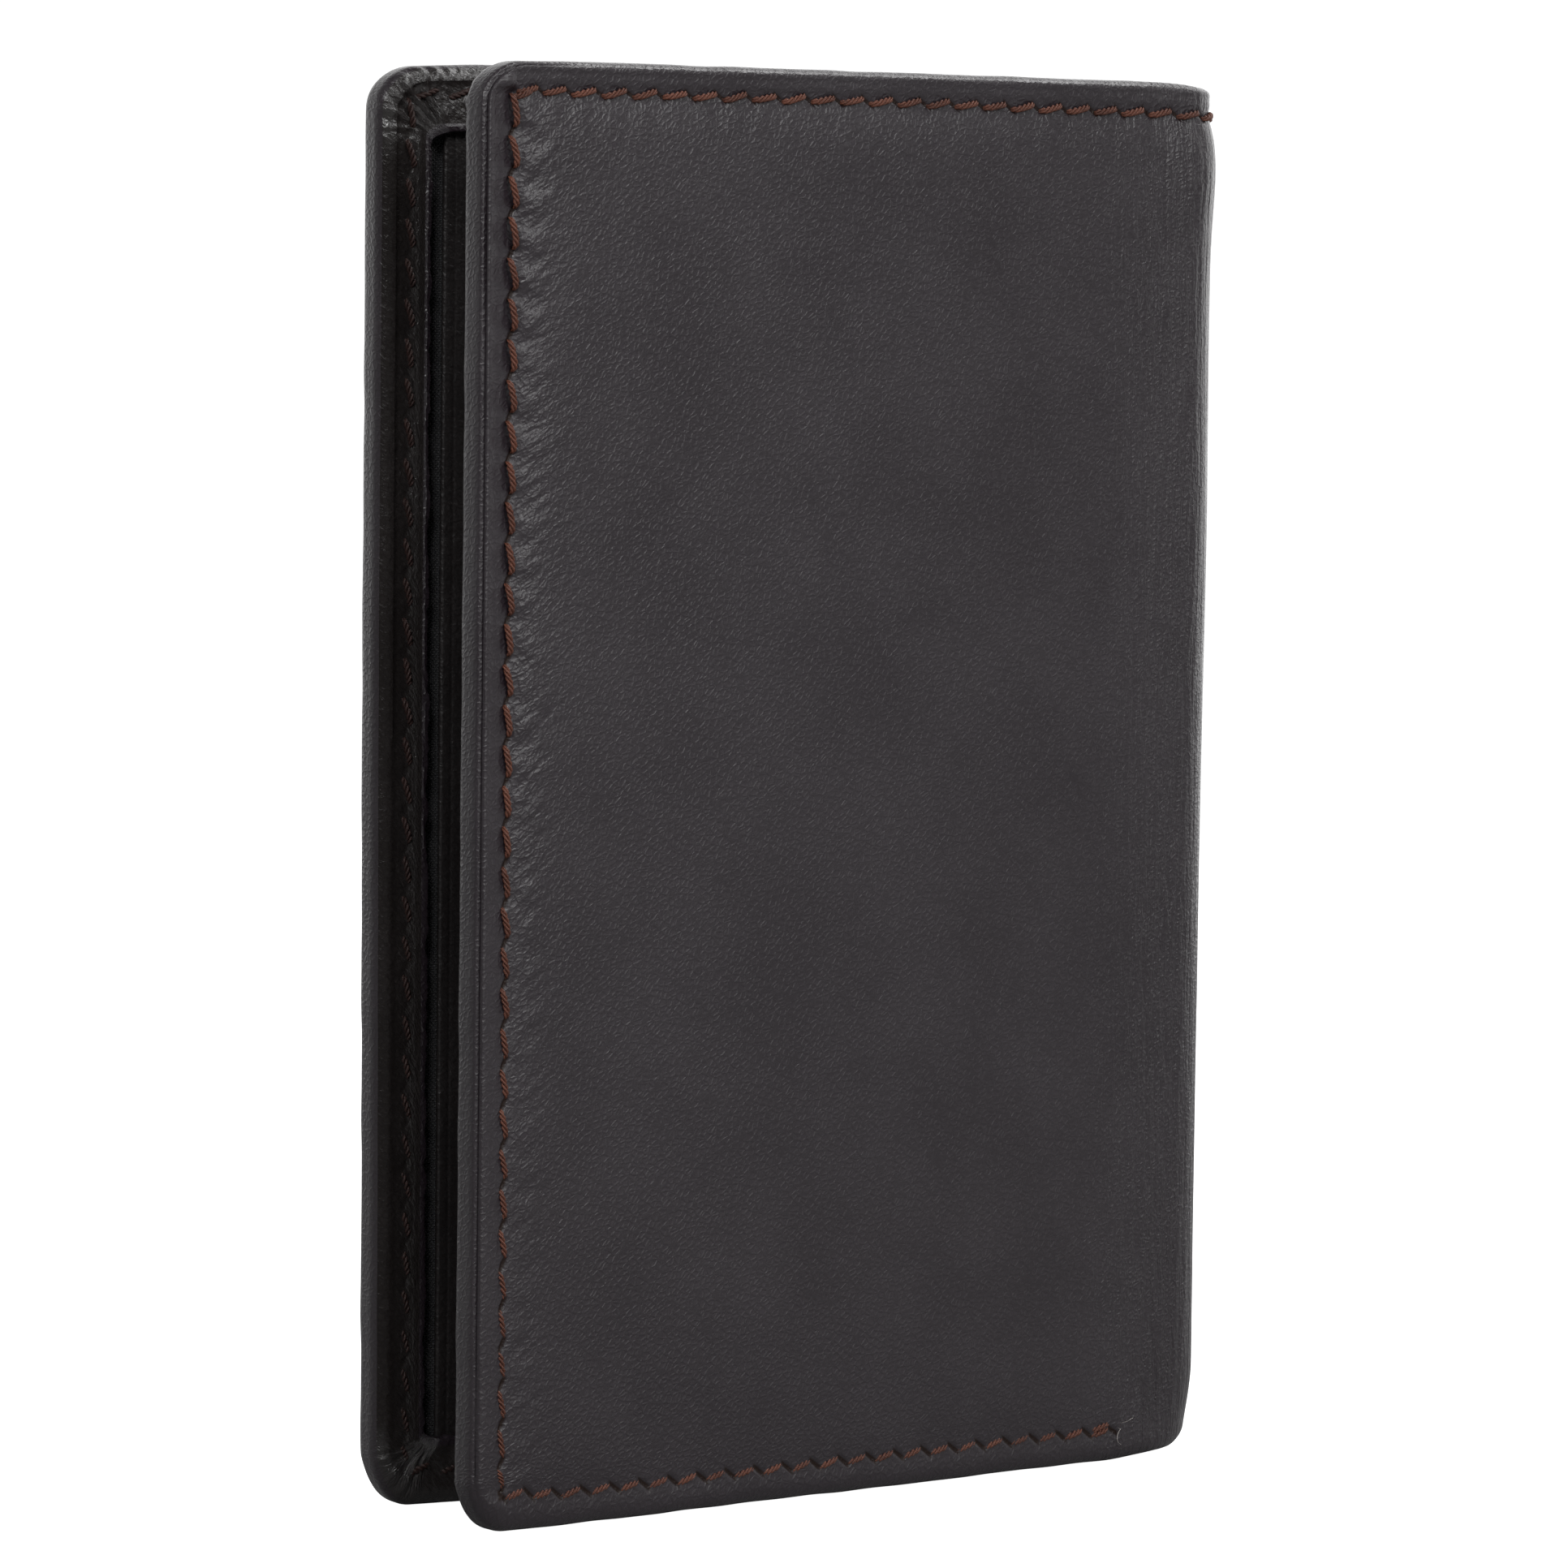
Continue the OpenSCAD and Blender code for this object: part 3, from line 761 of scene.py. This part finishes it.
def thread_material(name, dark, light):
    n = Nodes(bpy.data.materials.new(name))
    coords = n.add("UVMap", uv_map="leather").outputs[0]
    fibre = n.noise(coords, 9000.0, 3.0, 0.6)
    tone = n.noise(coords, 260.0, 2.0)
    mottle = n.math("MULTIPLY_ADD", fibre, 0.6, n.times(tone, 0.4))
    colour = n.mix(n.span(mottle, 0.3, 0.7), (*dark, 1), (*light, 1))
    return n.set(Base_Color=colour, Roughness=0.55, Specular_IOR_Level=0.25,
                 Normal=n.bump(fibre, 0.00004))


def woven(name, warp_colour, weft_colour, pitch):
    """Plain weave: crossing threads, with the colour and height of whichever is on top."""
    n = Nodes(bpy.data.materials.new(name))
    coords = n.add("TexCoord").outputs["Object"]
    s = n.add("SeparateXYZ", {0: coords})
    rate = 2 * math.pi / pitch
    across = n.math("SINE", n.times(s.outputs[0], rate))
    up = n.math("SINE", n.times(s.outputs[2], rate))
    over = n.times(across, up)
    ridge = n.math("ADD", n.math("ABSOLUTE", across), n.math("ABSOLUTE", up))
    slub = n.noise(coords, 1800.0, 3.0)
    colour = n.mix(n.span(over, -0.5, 0.5), (*warp_colour, 1), (*weft_colour, 1))
    tinted = n.mix(n.span(slub, 0.3, 0.7, 0.0, 0.35), colour, (0.004, 0.004, 0.005, 1))
    height = n.math("MULTIPLY_ADD", slub, 0.5, n.math("ADD", over, ridge))
    return n.set(Base_Color=tinted, Roughness=0.85, Sheen_Weight=0.2, Normal=n.bump(height, 0.00004))


def pressed_board():
    n = Nodes(bpy.data.materials.new("pressed_board"))
    coords = n.add("TexCoord").outputs["Object"]
    layered = n.add("Mapping", {"Vector": coords, "Scale": (1.0, 1.0, 3.0)}).outputs[0]
    fibre = n.noise(layered, 1500.0, 5.0, 0.65)
    fleck = n.noise(coords, 420.0, 2.0)
    colour = n.mix(n.span(fibre, 0.3, 0.7), (0.2, 0.15, 0.1, 1), (0.36, 0.29, 0.2, 1))
    flecked = n.mix(n.span(fleck, 0.62, 0.75), colour, (0.08, 0.06, 0.045, 1))
    return n.set(Base_Color=flecked, Roughness=0.9, Normal=n.bump(fibre, 0.00005))


COVER_LEATHER = {
    FRONT: leather("front_cover_leather", COVER_TONES, rough=0.38, grain_depth=0.00018, hand=1),
    REAR: leather("rear_cover_leather", COVER_TONES, rough=0.38, grain_depth=0.00018, hand=-1),
}
HEM_LEATHER = leather("hem_leather", HEM_TONES, rough=0.32, grain_depth=0.0001, dull_roll=True)
INNER_LEATHER = leather("inner_leather", INNER_TONES, rough=0.45, grain_depth=0.0001, shine=0.25)
TRIM_LEATHER = leather("trim_leather", TRIM_TONES, rough=0.45, grain_depth=0.0001, uv=False, shine=0.25)
LINING = woven("lining_cloth", (0.010, 0.010, 0.012), (0.016, 0.015, 0.017), 0.00035)
TAPE = woven("bonded_tape", (0.03, 0.03, 0.033), (0.05, 0.048, 0.05), 0.0006)
BOARD = pressed_board()
THREAD = thread_material("thread", (0.037, 0.0135, 0.009), (0.13, 0.047, 0.029))
LINT = thread_material("lint", (0.3, 0.27, 0.25), (0.45, 0.42, 0.4))
# a darker copy of the thread for the stitches on the hem: painted shade, as the hem lies in the shade
# inside the case
SHADED_THREAD = thread_material("shaded_thread", (0.0135, 0.007, 0.0062), (0.032, 0.0155, 0.0132))


# ---- covers ----
def cover_rows():
    """The outer face's border, the rolled edge, the hem and its raw edge, and the inside."""
    rows = [(BORDER, 0.0, 2)]
    rows += [(d, 0.0, 1) for d in np.arange(BORDER - 0.25, 3.4, -0.25)]
    rows += [(d, 0.0, 1) for d in np.arange(3.4, 1.5, -0.125)]
    rows += [(1.35, 0.0, 1)]
    angles = [0, 9, 18, 26, 33, 38, 42, 45.5, 48.5, 51, 53.5, 56.5, 60, 65, 71, 80, 90]
    rows += arc_rows(EDGE_R, EDGE_R, angles)
    rows += [(0.0, EDGE_R + (EDGE_T - 2 * EDGE_R) * k / 4, 1) for k in (1, 2, 3)]
    rows += arc_rows(EDGE_T - EDGE_R, EDGE_R, np.linspace(90, 180, 10))
    rows += [(d, EDGE_T, 1) for d in np.arange(EDGE_R + 0.24, HEM_W - 0.2, 0.24)]
    rows += [(HEM_W - 0.1, EDGE_T - 0.06, 1), (HEM_W, EDGE_T - 0.25, 1), (HEM_W, EDGE_T - 0.55, 1)]
    rows += [(HEM_W - 0.04, EDGE_T - LEATHER_T + 0.1, 1), (HEM_W - 0.15, EDGE_T - LEATHER_T, 2)]
    rows += [(d, EDGE_T - LEATHER_T, 4) for d in np.linspace(HEM_W - 0.9, EDGE_R + 0.1, 5)]
    rows += [(LEATHER_T, EDGE_T - EDGE_R, 4), (LEATHER_T, EDGE_R, 4), (EDGE_R + 0.1, LEATHER_T, 4)]
    rows += [(3.0, LEATHER_T, 4), (BORDER, LEATHER_T, 4)]
    return rows


def corner_pleats(s, z, angle):
    """Gathers where the leather turns over a cover's rounded corner, fanning from inside it."""
    from_end = np.minimum(z, HEIGHT - z) - PLEAT_CENTRE
    from_side = s - PLEAT_CENTRE
    fan = np.degrees(np.arctan2(from_end, from_side)) % 360
    radius = np.hypot(from_end, from_side)
    ripple = np.sin(fan / 13.5 * 2 * math.pi + 2.2 * noise(fan / 21, radius * 0.3 + z, 3) + 1.0)
    height = (0.09 + 0.17 * smooth(z, 20, 80)) * (0.7 + 0.5 * noise(fan / 17, z, 9))
    zone = bump(fan, 228, 34) * smooth(radius, 0.9, 2.2) * (1 - smooth(radius, 5.2, 6.4))
    return height * ripple * zone * smooth(angle, 95, 140)


def edge_crease(s, z, d, angle):
    """How far the rolled edge stands out: a crease runs along it, deepest at the upper corner."""
    depth = 0.14 + 0.08 * smooth(z, 60, 100) + 0.04 * noise(z * 0.12, 0.3, 8)
    depth = depth * smooth(z, 1.5, 5) * (1 - smooth(s, 4, 11))
    edge_only = np.where((d < EDGE_R + 0.1) & (angle < 150), 1.0, 0.0)
    crease = bump(angle, 51, 6.5) - 0.45 * bump(angle, 36, 10) - 0.25 * bump(angle, 66, 8)
    uneven = 0.035 * noise(z * 0.35, s * 0.35 + 7, 4) * smooth(angle, 0, 40)
    return edge_only * (uneven - depth * crease)


def face_sink(s, z, u, d, angle, side):
    """The outer face: pressed in along the seam, and slightly wavy in the middle."""
    on_face = (u < 0.6) & ((angle < 60) | (d >= BORDER))
    seam = seam_relief(s, z, seam_legs(), -side) * (1 - smooth(angle, 10, 55))
    wave = FACE_WAVE * noise(s / 13, z / 17, 21) + FACE_WAVE_FINE * noise(s / 5, z / 6, 22)
    calm = smooth(s, 2, 8) * (1 - smooth(s, MID_S - 4, MID_S - 1))
    calm = calm * smooth(z, 2, 8) * (1 - smooth(z, HEIGHT - 8, HEIGHT - 2))
    return np.where(on_face, seam, 0) + np.where(u < 1.0, wave * calm, 0)


def hem_rise(s, z, u, d, angle, side):
    """The hem: sunk along the needle line and a little rumpled."""
    hem = (angle > 150) & (d > EDGE_R) & (u > 1.5)
    sink = seam_relief(s, z, seam_legs(), side, 0.3) * 0.5
    rumple = 0.07 * noise(s * 0.9, z * 0.9, 31) + 0.06 * noise(s * 2.2, z * 2.2, 32)
    rumple = rumple * (0.2 + 0.8 * smooth(s, 3.5, 6))
    return np.where(hem, rumple * smooth(d, 1.2, 3) - sink, 0)


def cover_shape(side):
    def shape(table):
        s, z, u, in_s, in_z, d, angle, _ = table.T
        u = edge_depth(s, u)
        push = edge_crease(s, z, d, angle) + np.where(d <= HEM_W, corner_pleats(s, z, angle), 0)
        sink = face_sink(s, z, u, d, angle, side)
        u = u + hem_rise(s, z, u, d, angle, side)
        # the hem's raw edge is ragged, and the hem is narrower along the free edge
        rad = np.radians(np.clip(angle, 0, 180))
        out_d, out_u = -np.sin(rad), -np.cos(rad)
        fold_in = np.where((u > 1.5) & (d <= HEM_W), 1.0, 0.0)
        raw = smooth(d, 4.2, HEM_W) * fold_in
        ragged = 0.2 * noise(z * 0.8 + s * 0.8, 1.5, 41) + 0.12 * noise(z * 2.6 + s * 2.6, 2.5, 42)
        narrow = (HEM_SIDE - HEM_W) * smooth(d, 2.4, HEM_W) * fold_in * np.maximum(in_s, 0) ** 2
        inwards = ragged * raw + push * out_d
        s = s + in_s * inwards + narrow
        z = z + in_z * inwards
        # the lower corner at the free edge is a little rounder than the upper one
        near_foot = bump(np.hypot(s, z), 0, 4.0)
        s = s + REAR_FOOT_ROUNDING * near_foot * (side == REAR)
        z = z + FOOT_ROUNDING * near_foot
        u = u + push * out_u + sink * np.where(u < 1.0, 1.0, 0.0)
        return s, z, u

    return shape


def cover(side):
    word = WORD[side]
    slab = Slab(cover_rows(), 0, MID_S, 0, HEIGHT, CORNER_R, STEP, spine_end=True)
    leathers = [COVER_LEATHER[side], HEM_LEATHER]
    shape = cover_shape(side)
    obj = slab_object(word + "_cover_leather", slab, side, leathers, shape, slots=[0, 0, 1, 1])
    finish_bent(obj, side, [word + "_cover", word + "_hem", "spine_cover", "spine_hem"])


def finish_bent(obj, side, nodes):
    """A piece that runs from a cover round to the middle of the spine: its placement is baked into the
    mesh and the CAD parts it stands in for are hidden.
    """
    middle = np.array([HEIGHT / 2])
    start = place(np.array([LEAF]), middle, np.array([SPINE_T]), side)[0]
    end = place(np.array([MID_S]), middle, np.array([SPINE_T]), side)[0]
    start[2] = end[2] = 0
    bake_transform(obj)
    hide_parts(*nodes)


def on_body(obj, body, nodes):
    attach(obj, body)
    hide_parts(*nodes)


def doubled_stitches():
    """The stitch sewn twice where the lower seam stops, and the one at the upper corner."""
    at_stop = (*EDGE_STITCHES[0][:3], 0.38)
    upper = [run for run in EDGE_STITCHES if run[0][1] > HEIGHT - 4 and run[0][0] < SEAM_SIDE + 0.1]
    a, b, inward, _ = upper[-1]
    at_corner = (a - (b - a) * 0.1, a + (b - a) * 0.75, inward, 0.3)
    return [at_stop, at_corner]


def edge_seams(side):
    """The seam as it shows on the outer face, and as it shows on the hem."""
    word = WORD[side]
    outer = EDGE_STITCHES + doubled_stitches()
    fluff = fluff_paths() if side == FRONT else ()
    obj = thread_object(word + "_outer_seam", outer, side, lambda s: 0.0 * s, outward=-1,
                        slant=-OUTER_SLANT * side, material=THREAD, seed=3, proud=-0.24, fluff=fluff)
    finish_bent(obj, side, [word + "_outer_stitches", "spine_stitches"])
    inner = [run for run in EDGE_STITCHES if max(run[0][0], run[1][0]) < MID_S - 2.5]
    # the hem's stitches take the darker copy of the thread, painted shade for the inside of the case
    obj = thread_object(word + "_inner_seam", inner, side,
                        lambda s: edge_depth(s, np.full_like(s, EDGE_T)), outward=1,
                        slant=INNER_SLANT * side, material=SHADED_THREAD, seed=4, proud=-0.17)
    finish_bent(obj, side, [word + "_inner_stitches"])


# ---- inner layers ----
def panel_rows(thickness, u0, border=3.0):
    r = thickness / 2
    rows = [(border, u0, 2)]
    rows += [(d, u0, 1) for d in (border / 2, 1.1, 0.95, 0.8, r + 0.05)]
    rows += arc_rows(u0 + r, r, np.linspace(0, 180, 7))
    insets = (0.5, 0.7, 0.8, 0.9, 1.0, 1.1, 1.3, 1.6, border / 2 + 0.5, border)
    return rows + [(d, u0 + thickness, 1) for d in insets]


def panel(name, side, s0, s1, inset, u0, thickness, corner=0.6, notch=None, crease=0.06, seed=1):
    """A pocket or facing of thin leather with rounded edges, a crease along its upright ones and,
    where notch gives its radius and depth, a thumb notch in the mouth."""
    slab = Slab(panel_rows(thickness, u0), s0, s1, inset, HEIGHT - inset, corner, PANEL_STEP)

    def shape(table):
        s, z, u, in_s, in_z, d, angle, _ = table.T
        top = u > u0 + 0.75 * thickness
        line = bump(d, 0.9, 0.1) * np.where(in_s > 0.7, 1.0, 0.0) * np.where(d < 2.9, 1.0, 0.0)
        u = u - np.where(top, crease * line, 0)
        u = u + 0.03 * noise(s / 7, z / 9, seed) * smooth(d, 0.3, 2)
        if notch:
            radius, depth = notch
            inside = np.maximum(radius ** 2 - (z - HEIGHT / 2) ** 2, 0)
            cut = np.maximum(np.sqrt(inside) - (radius - depth), 0)
            s = s + cut * (1 - smooth(s, s0, s0 + 2.2 * depth))
        return s, z, u

    return slab_object(name, slab, side, [INNER_LEATHER], shape, sharp=60)


def thin_rows(thickness, u0, border=2.0):
    profile = [(border, 0), (0.3, 0), (0.05, 0.1), (0, 0.5), (0.05, 0.9), (0.3, 1), (border, 1)]
    return [(d, u0 + part * thickness, 1) for d, part in profile]


def bent_layer(name, side, s0, inset, u0, thickness, material, nodes):
    """A layer under the leather that runs on round the spine to its middle."""
    rows = thin_rows(thickness, u0)
    slab = Slab(rows, s0, MID_S, inset, HEIGHT - inset, LAYER_CORNER_R, LAYER_STEP, spine_end=True)
    obj = slab_object(name, slab, side, [material], lambda table: table.T[:3], sharp=60)
    finish_bent(obj, side, nodes)


def strip_object(name, side, loop, s0, s1, z0, z1, material):
    """Sweeps a closed loop of (inset, depth) along three sides of a rectangle, open at s0."""
    corners = [(s0, z0, 0, 1), (s1, z0, -1, 1), (s1, z1, -1, -1), (s0, z1, 0, -1)]
    spots = [
        np.column_stack([s + in_s * loop[:, 0], z + in_z * loop[:, 0], loop[:, 1]])
        for s, z, in_s, in_z in corners
    ]
    rings = []
    for a, b in zip(spots[:-1], spots[1:]):
        steps = max(2, int(np.abs(b - a).max() / 2))
        for t in np.linspace(0, 1, steps + 1)[(1 if rings else 0):]:
            rings.append(a + (b - a) * t)
    faces = tube_faces(len(rings), len(loop))
    if side == REAR:
        faces = [f[::-1] for f in faces]
    table = np.vstack(rings)
    return make_mesh(name, place(table[:, 0], table[:, 1], table[:, 2], side), faces, [material],
                     table[:, :2] * MM, sharp=50)


def bellows_loop(low, high, width, thickness):
    """An accordion fold seen end on: flange, inward fold, flange."""
    middle = (low + high) / 2
    half = thickness / 2
    line = [(0.1, low + half), (width, low + half + 0.05), (0.55, middle), (width, high - half - 0.05),
            (0.1, high - half)]
    points = []
    for a, b in zip(line[:-1], line[1:]):
        for t in np.linspace(0, 1, 5)[:-1]:
            points.append(np.array(a) + (np.array(b) - np.array(a)) * t)
    points.append(np.array(line[-1]))
    points = np.array(points)
    for _ in range(2):
        points[1:-1] = 0.25 * points[:-2] + 0.5 * points[1:-1] + 0.25 * points[2:]
    tangent = np.gradient(points, axis=0)
    normal = np.column_stack([-tangent[:, 1], tangent[:, 0]]) / np.linalg.norm(tangent, axis=1)[:, None]
    return np.vstack([points + half * normal, (points - half * normal)[::-1]])


def patch_seam(name, side, s0, u0, nodes, seed):
    """The seam round three sides of a pocket."""
    legs = patch_legs(s0, POCKET_END - 1, PATCH_IN + 1, HEIGHT - PATCH_IN - 1)
    obj = thread_object(name, stitches(legs), side, lambda s: 0 * s + u0, outward=1,
                        slant=PATCH_SLANT * side, material=THREAD, seed=seed)
    on_body(obj, WORD[side] + "_half", nodes)


def rear_pockets():
    """A full pocket with two card slots on top, each set back from the one below."""
    body = "rear_half"
    base = panel("rear_base_pocket", REAR, POCKET_MOUTH, POCKET_END, LAYER_IN, u0=1.9, thickness=0.5,
                 seed=71)
    on_body(base, body, ["rear_pocket"])
    for k, u0 in ((1, 2.7), (2, 3.45)):
        mouth = POCKET_MOUTH + k * SLOT_STEP
        slot = panel(f"rear_card_slot_{k}", REAR, mouth, POCKET_END, PATCH_IN, u0, thickness=0.45,
                     seed=71 + k)
        on_body(slot, body, [f"rear_slot_{k}"])
    patch_seam("rear_slot_seam", REAR, POCKET_MOUTH + 2 * SLOT_STEP, 3.9, ["rear_slot_stitches"], 9)


def front_pockets():
    """A facing, and on it a pocket with a thumb notch and a bellows gusset round three sides."""
    body = "front_half"
    facing = panel("front_facing_leather", FRONT, LAYER_IN, POCKET_END, LAYER_IN, u0=1.5, thickness=0.9,
                   corner=2.0, crease=0.0, seed=81)
    on_body(facing, body, ["front_facing"])
    pocket = panel("front_card_pocket", FRONT, POCKET_MOUTH, POCKET_END, PATCH_IN, u0=3.5, thickness=0.5,
                   notch=(NOTCH_R, NOTCH_DEPTH), seed=82)
    on_body(pocket, body, ["card_pocket"])
    loop = bellows_loop(low=2.4, high=3.5, width=1.9, thickness=0.22)
    gusset = strip_object("front_pocket_gusset", FRONT, loop, POCKET_MOUTH + 0.2, POCKET_END - 0.1,
                          PATCH_IN + 0.1, HEIGHT - PATCH_IN - 0.1, TRIM_LEATHER)
    on_body(gusset, body, ["card_pocket_gusset"])
    patch_seam("front_pocket_seam", FRONT, POCKET_MOUTH, 4.0, ["card_pocket_stitches"], 10)


def recolour(node, material):
    """Gives a CAD piece that stays in the picture its own material."""
    slots = frame["nodes"][node].data.materials
    slots.clear()
    slots.append(material)


def inner_layers():
    for side, word in WORD.items():
        bent_layer(word + "_lining_cloth", side, LAYER_IN, LAYER_IN, 1.3, 0.2, LINING,
                   [word + "_lining", "spine_lining"])
        bent_layer(word + "_spine_tape", side, LEAF - 1.2, 2.5, 0.95, 0.25, TAPE, ["spine_tape"])
        recolour(word + "_board", BOARD)
    for name in ("rear_pocket_edge", "rear_slot_1_edge", "rear_slot_2_edge"):
        recolour(name, TRIM_LEATHER)


# ---- camera, light and floor ----
ROOM_GLOW = [
    ((0.75, -0.66, 0.0), 0.36),
    ((-0.71, 0.71, 0.0), 0.64),
    ((0.71, 0.71, 0.0), 2.65),
]
SOFTBOXES = [
    ("key_box", (0.15, -0.6, 0.5), 0.3, 2.1),
    ("front_box", (0.0, -0.7, 0.3), 0.3, 1.0),
    ("low_box", (0.2, -0.7, 0.14), 0.25, 0.35),
    ("near_left_box", (-0.28, -0.24, 0.3), 0.12, 1.0),
    ("over_box", (0.38, -0.04, 0.6), 0.25, 2.0),
]
LIGHTS_AIM = Vector((0, 0, 0.06))
CAMERA_AIM = Vector((-0.002805, 0.0, 0.052418))
CAMERA_DISTANCE = 0.52541
CAMERA_LENS = 162.69
BACKDROP_SEEN = 1.1
FLOOR_SEEN = 1.0
FLOOR_R = 0.6
FLOOR_SIDES = 96


def camera():
    azimuth, elevation, roll = math.radians(-34.175), math.radians(4.058), math.radians(0.678)
    level = math.cos(elevation)
    back = Vector((math.sin(azimuth) * level, -math.cos(azimuth) * level, math.sin(elevation)))
    data = bpy.data.cameras.new("camera")
    data.lens = CAMERA_LENS
    data.sensor_width = 36.0
    obj = bpy.data.objects.new("camera", data)
    turned = (-back).to_track_quat("-Z", "Y").to_matrix().to_4x4() @ Matrix.Rotation(roll, 4, "Z")
    obj.matrix_world = Matrix.Translation(CAMERA_AIM + back * CAMERA_DISTANCE) @ turned
    bpy.context.scene.collection.objects.link(obj)
    bpy.context.scene.camera = obj


def lights():
    for name, place_at, size, power in SOFTBOXES:
        data = bpy.data.lights.new(name, "AREA")
        data.shape = "RECTANGLE"
        data.size = data.size_y = size
        data.energy = power
        obj = bpy.data.objects.new(name, data)
        obj.location = place_at
        obj.rotation_euler = (LIGHTS_AIM - Vector(place_at)).to_track_quat("-Z", "Y").to_euler()
        bpy.context.scene.collection.objects.link(obj)


def room():
    """A glow, stronger from some directions than others, and plain white to the camera."""
    scene = bpy.context.scene
    scene.view_settings.view_transform = "Standard"
    scene.world = bpy.data.worlds.new("studio")
    n = Nodes(scene.world)
    coords = n.add("TexCoord").outputs["Generated"]
    total = 0.0
    for axis, strength in ROOM_GLOW:
        facing = n.add("VectorMath", {0: coords, 1: axis}, operation="DOT_PRODUCT").outputs["Value"]
        part = n.math("POWER", n.math("MAXIMUM", facing, 0.0), 2.0)
        total = n.math("ADD", total, n.times(part, strength))
    glow = n.add("Background", {"Color": (1, 1, 1, 1), "Strength": total}).outputs[0]
    seen = n.add("Background", {"Color": (1, 1, 1, 1), "Strength": BACKDROP_SEEN}).outputs[0]
    to_camera = n.add("LightPath").outputs["Is Camera Ray"]
    mixed = n.add("MixShader", {0: to_camera, 1: glow, 2: seen}).outputs[0]
    n.tree.links.new(mixed, n.tree.nodes["World Output"].inputs["Surface"])


def floor():
    """Grey to reflections and bounced light, and white where the camera sees it."""
    n = Nodes(bpy.data.materials.new("floor"))
    grain = n.noise(n.add("TexCoord").outputs["Object"], 8.0)
    seen = n.times(n.add("LightPath").outputs["Is Camera Ray"], FLOOR_SEEN)
    n.set(Base_Color=n.mix(grain, (0.29, 0.29, 0.29, 1), (0.32, 0.32, 0.32, 1)), Roughness=0.8,
          Emission_Color=(1, 1, 1, 1), Emission_Strength=seen)
    turn = np.linspace(0, 2 * math.pi, FLOOR_SIDES, endpoint=False)
    rim = np.column_stack([FLOOR_R * np.cos(turn), FLOOR_R * np.sin(turn), np.zeros_like(turn)])
    make_mesh("floor", rim, [list(range(FLOOR_SIDES))], [n.owner])


for half in (REAR, FRONT):
    cover(half)
    edge_seams(half)
rear_pockets()
front_pockets()
inner_layers()
camera()
room()
lights()
floor()
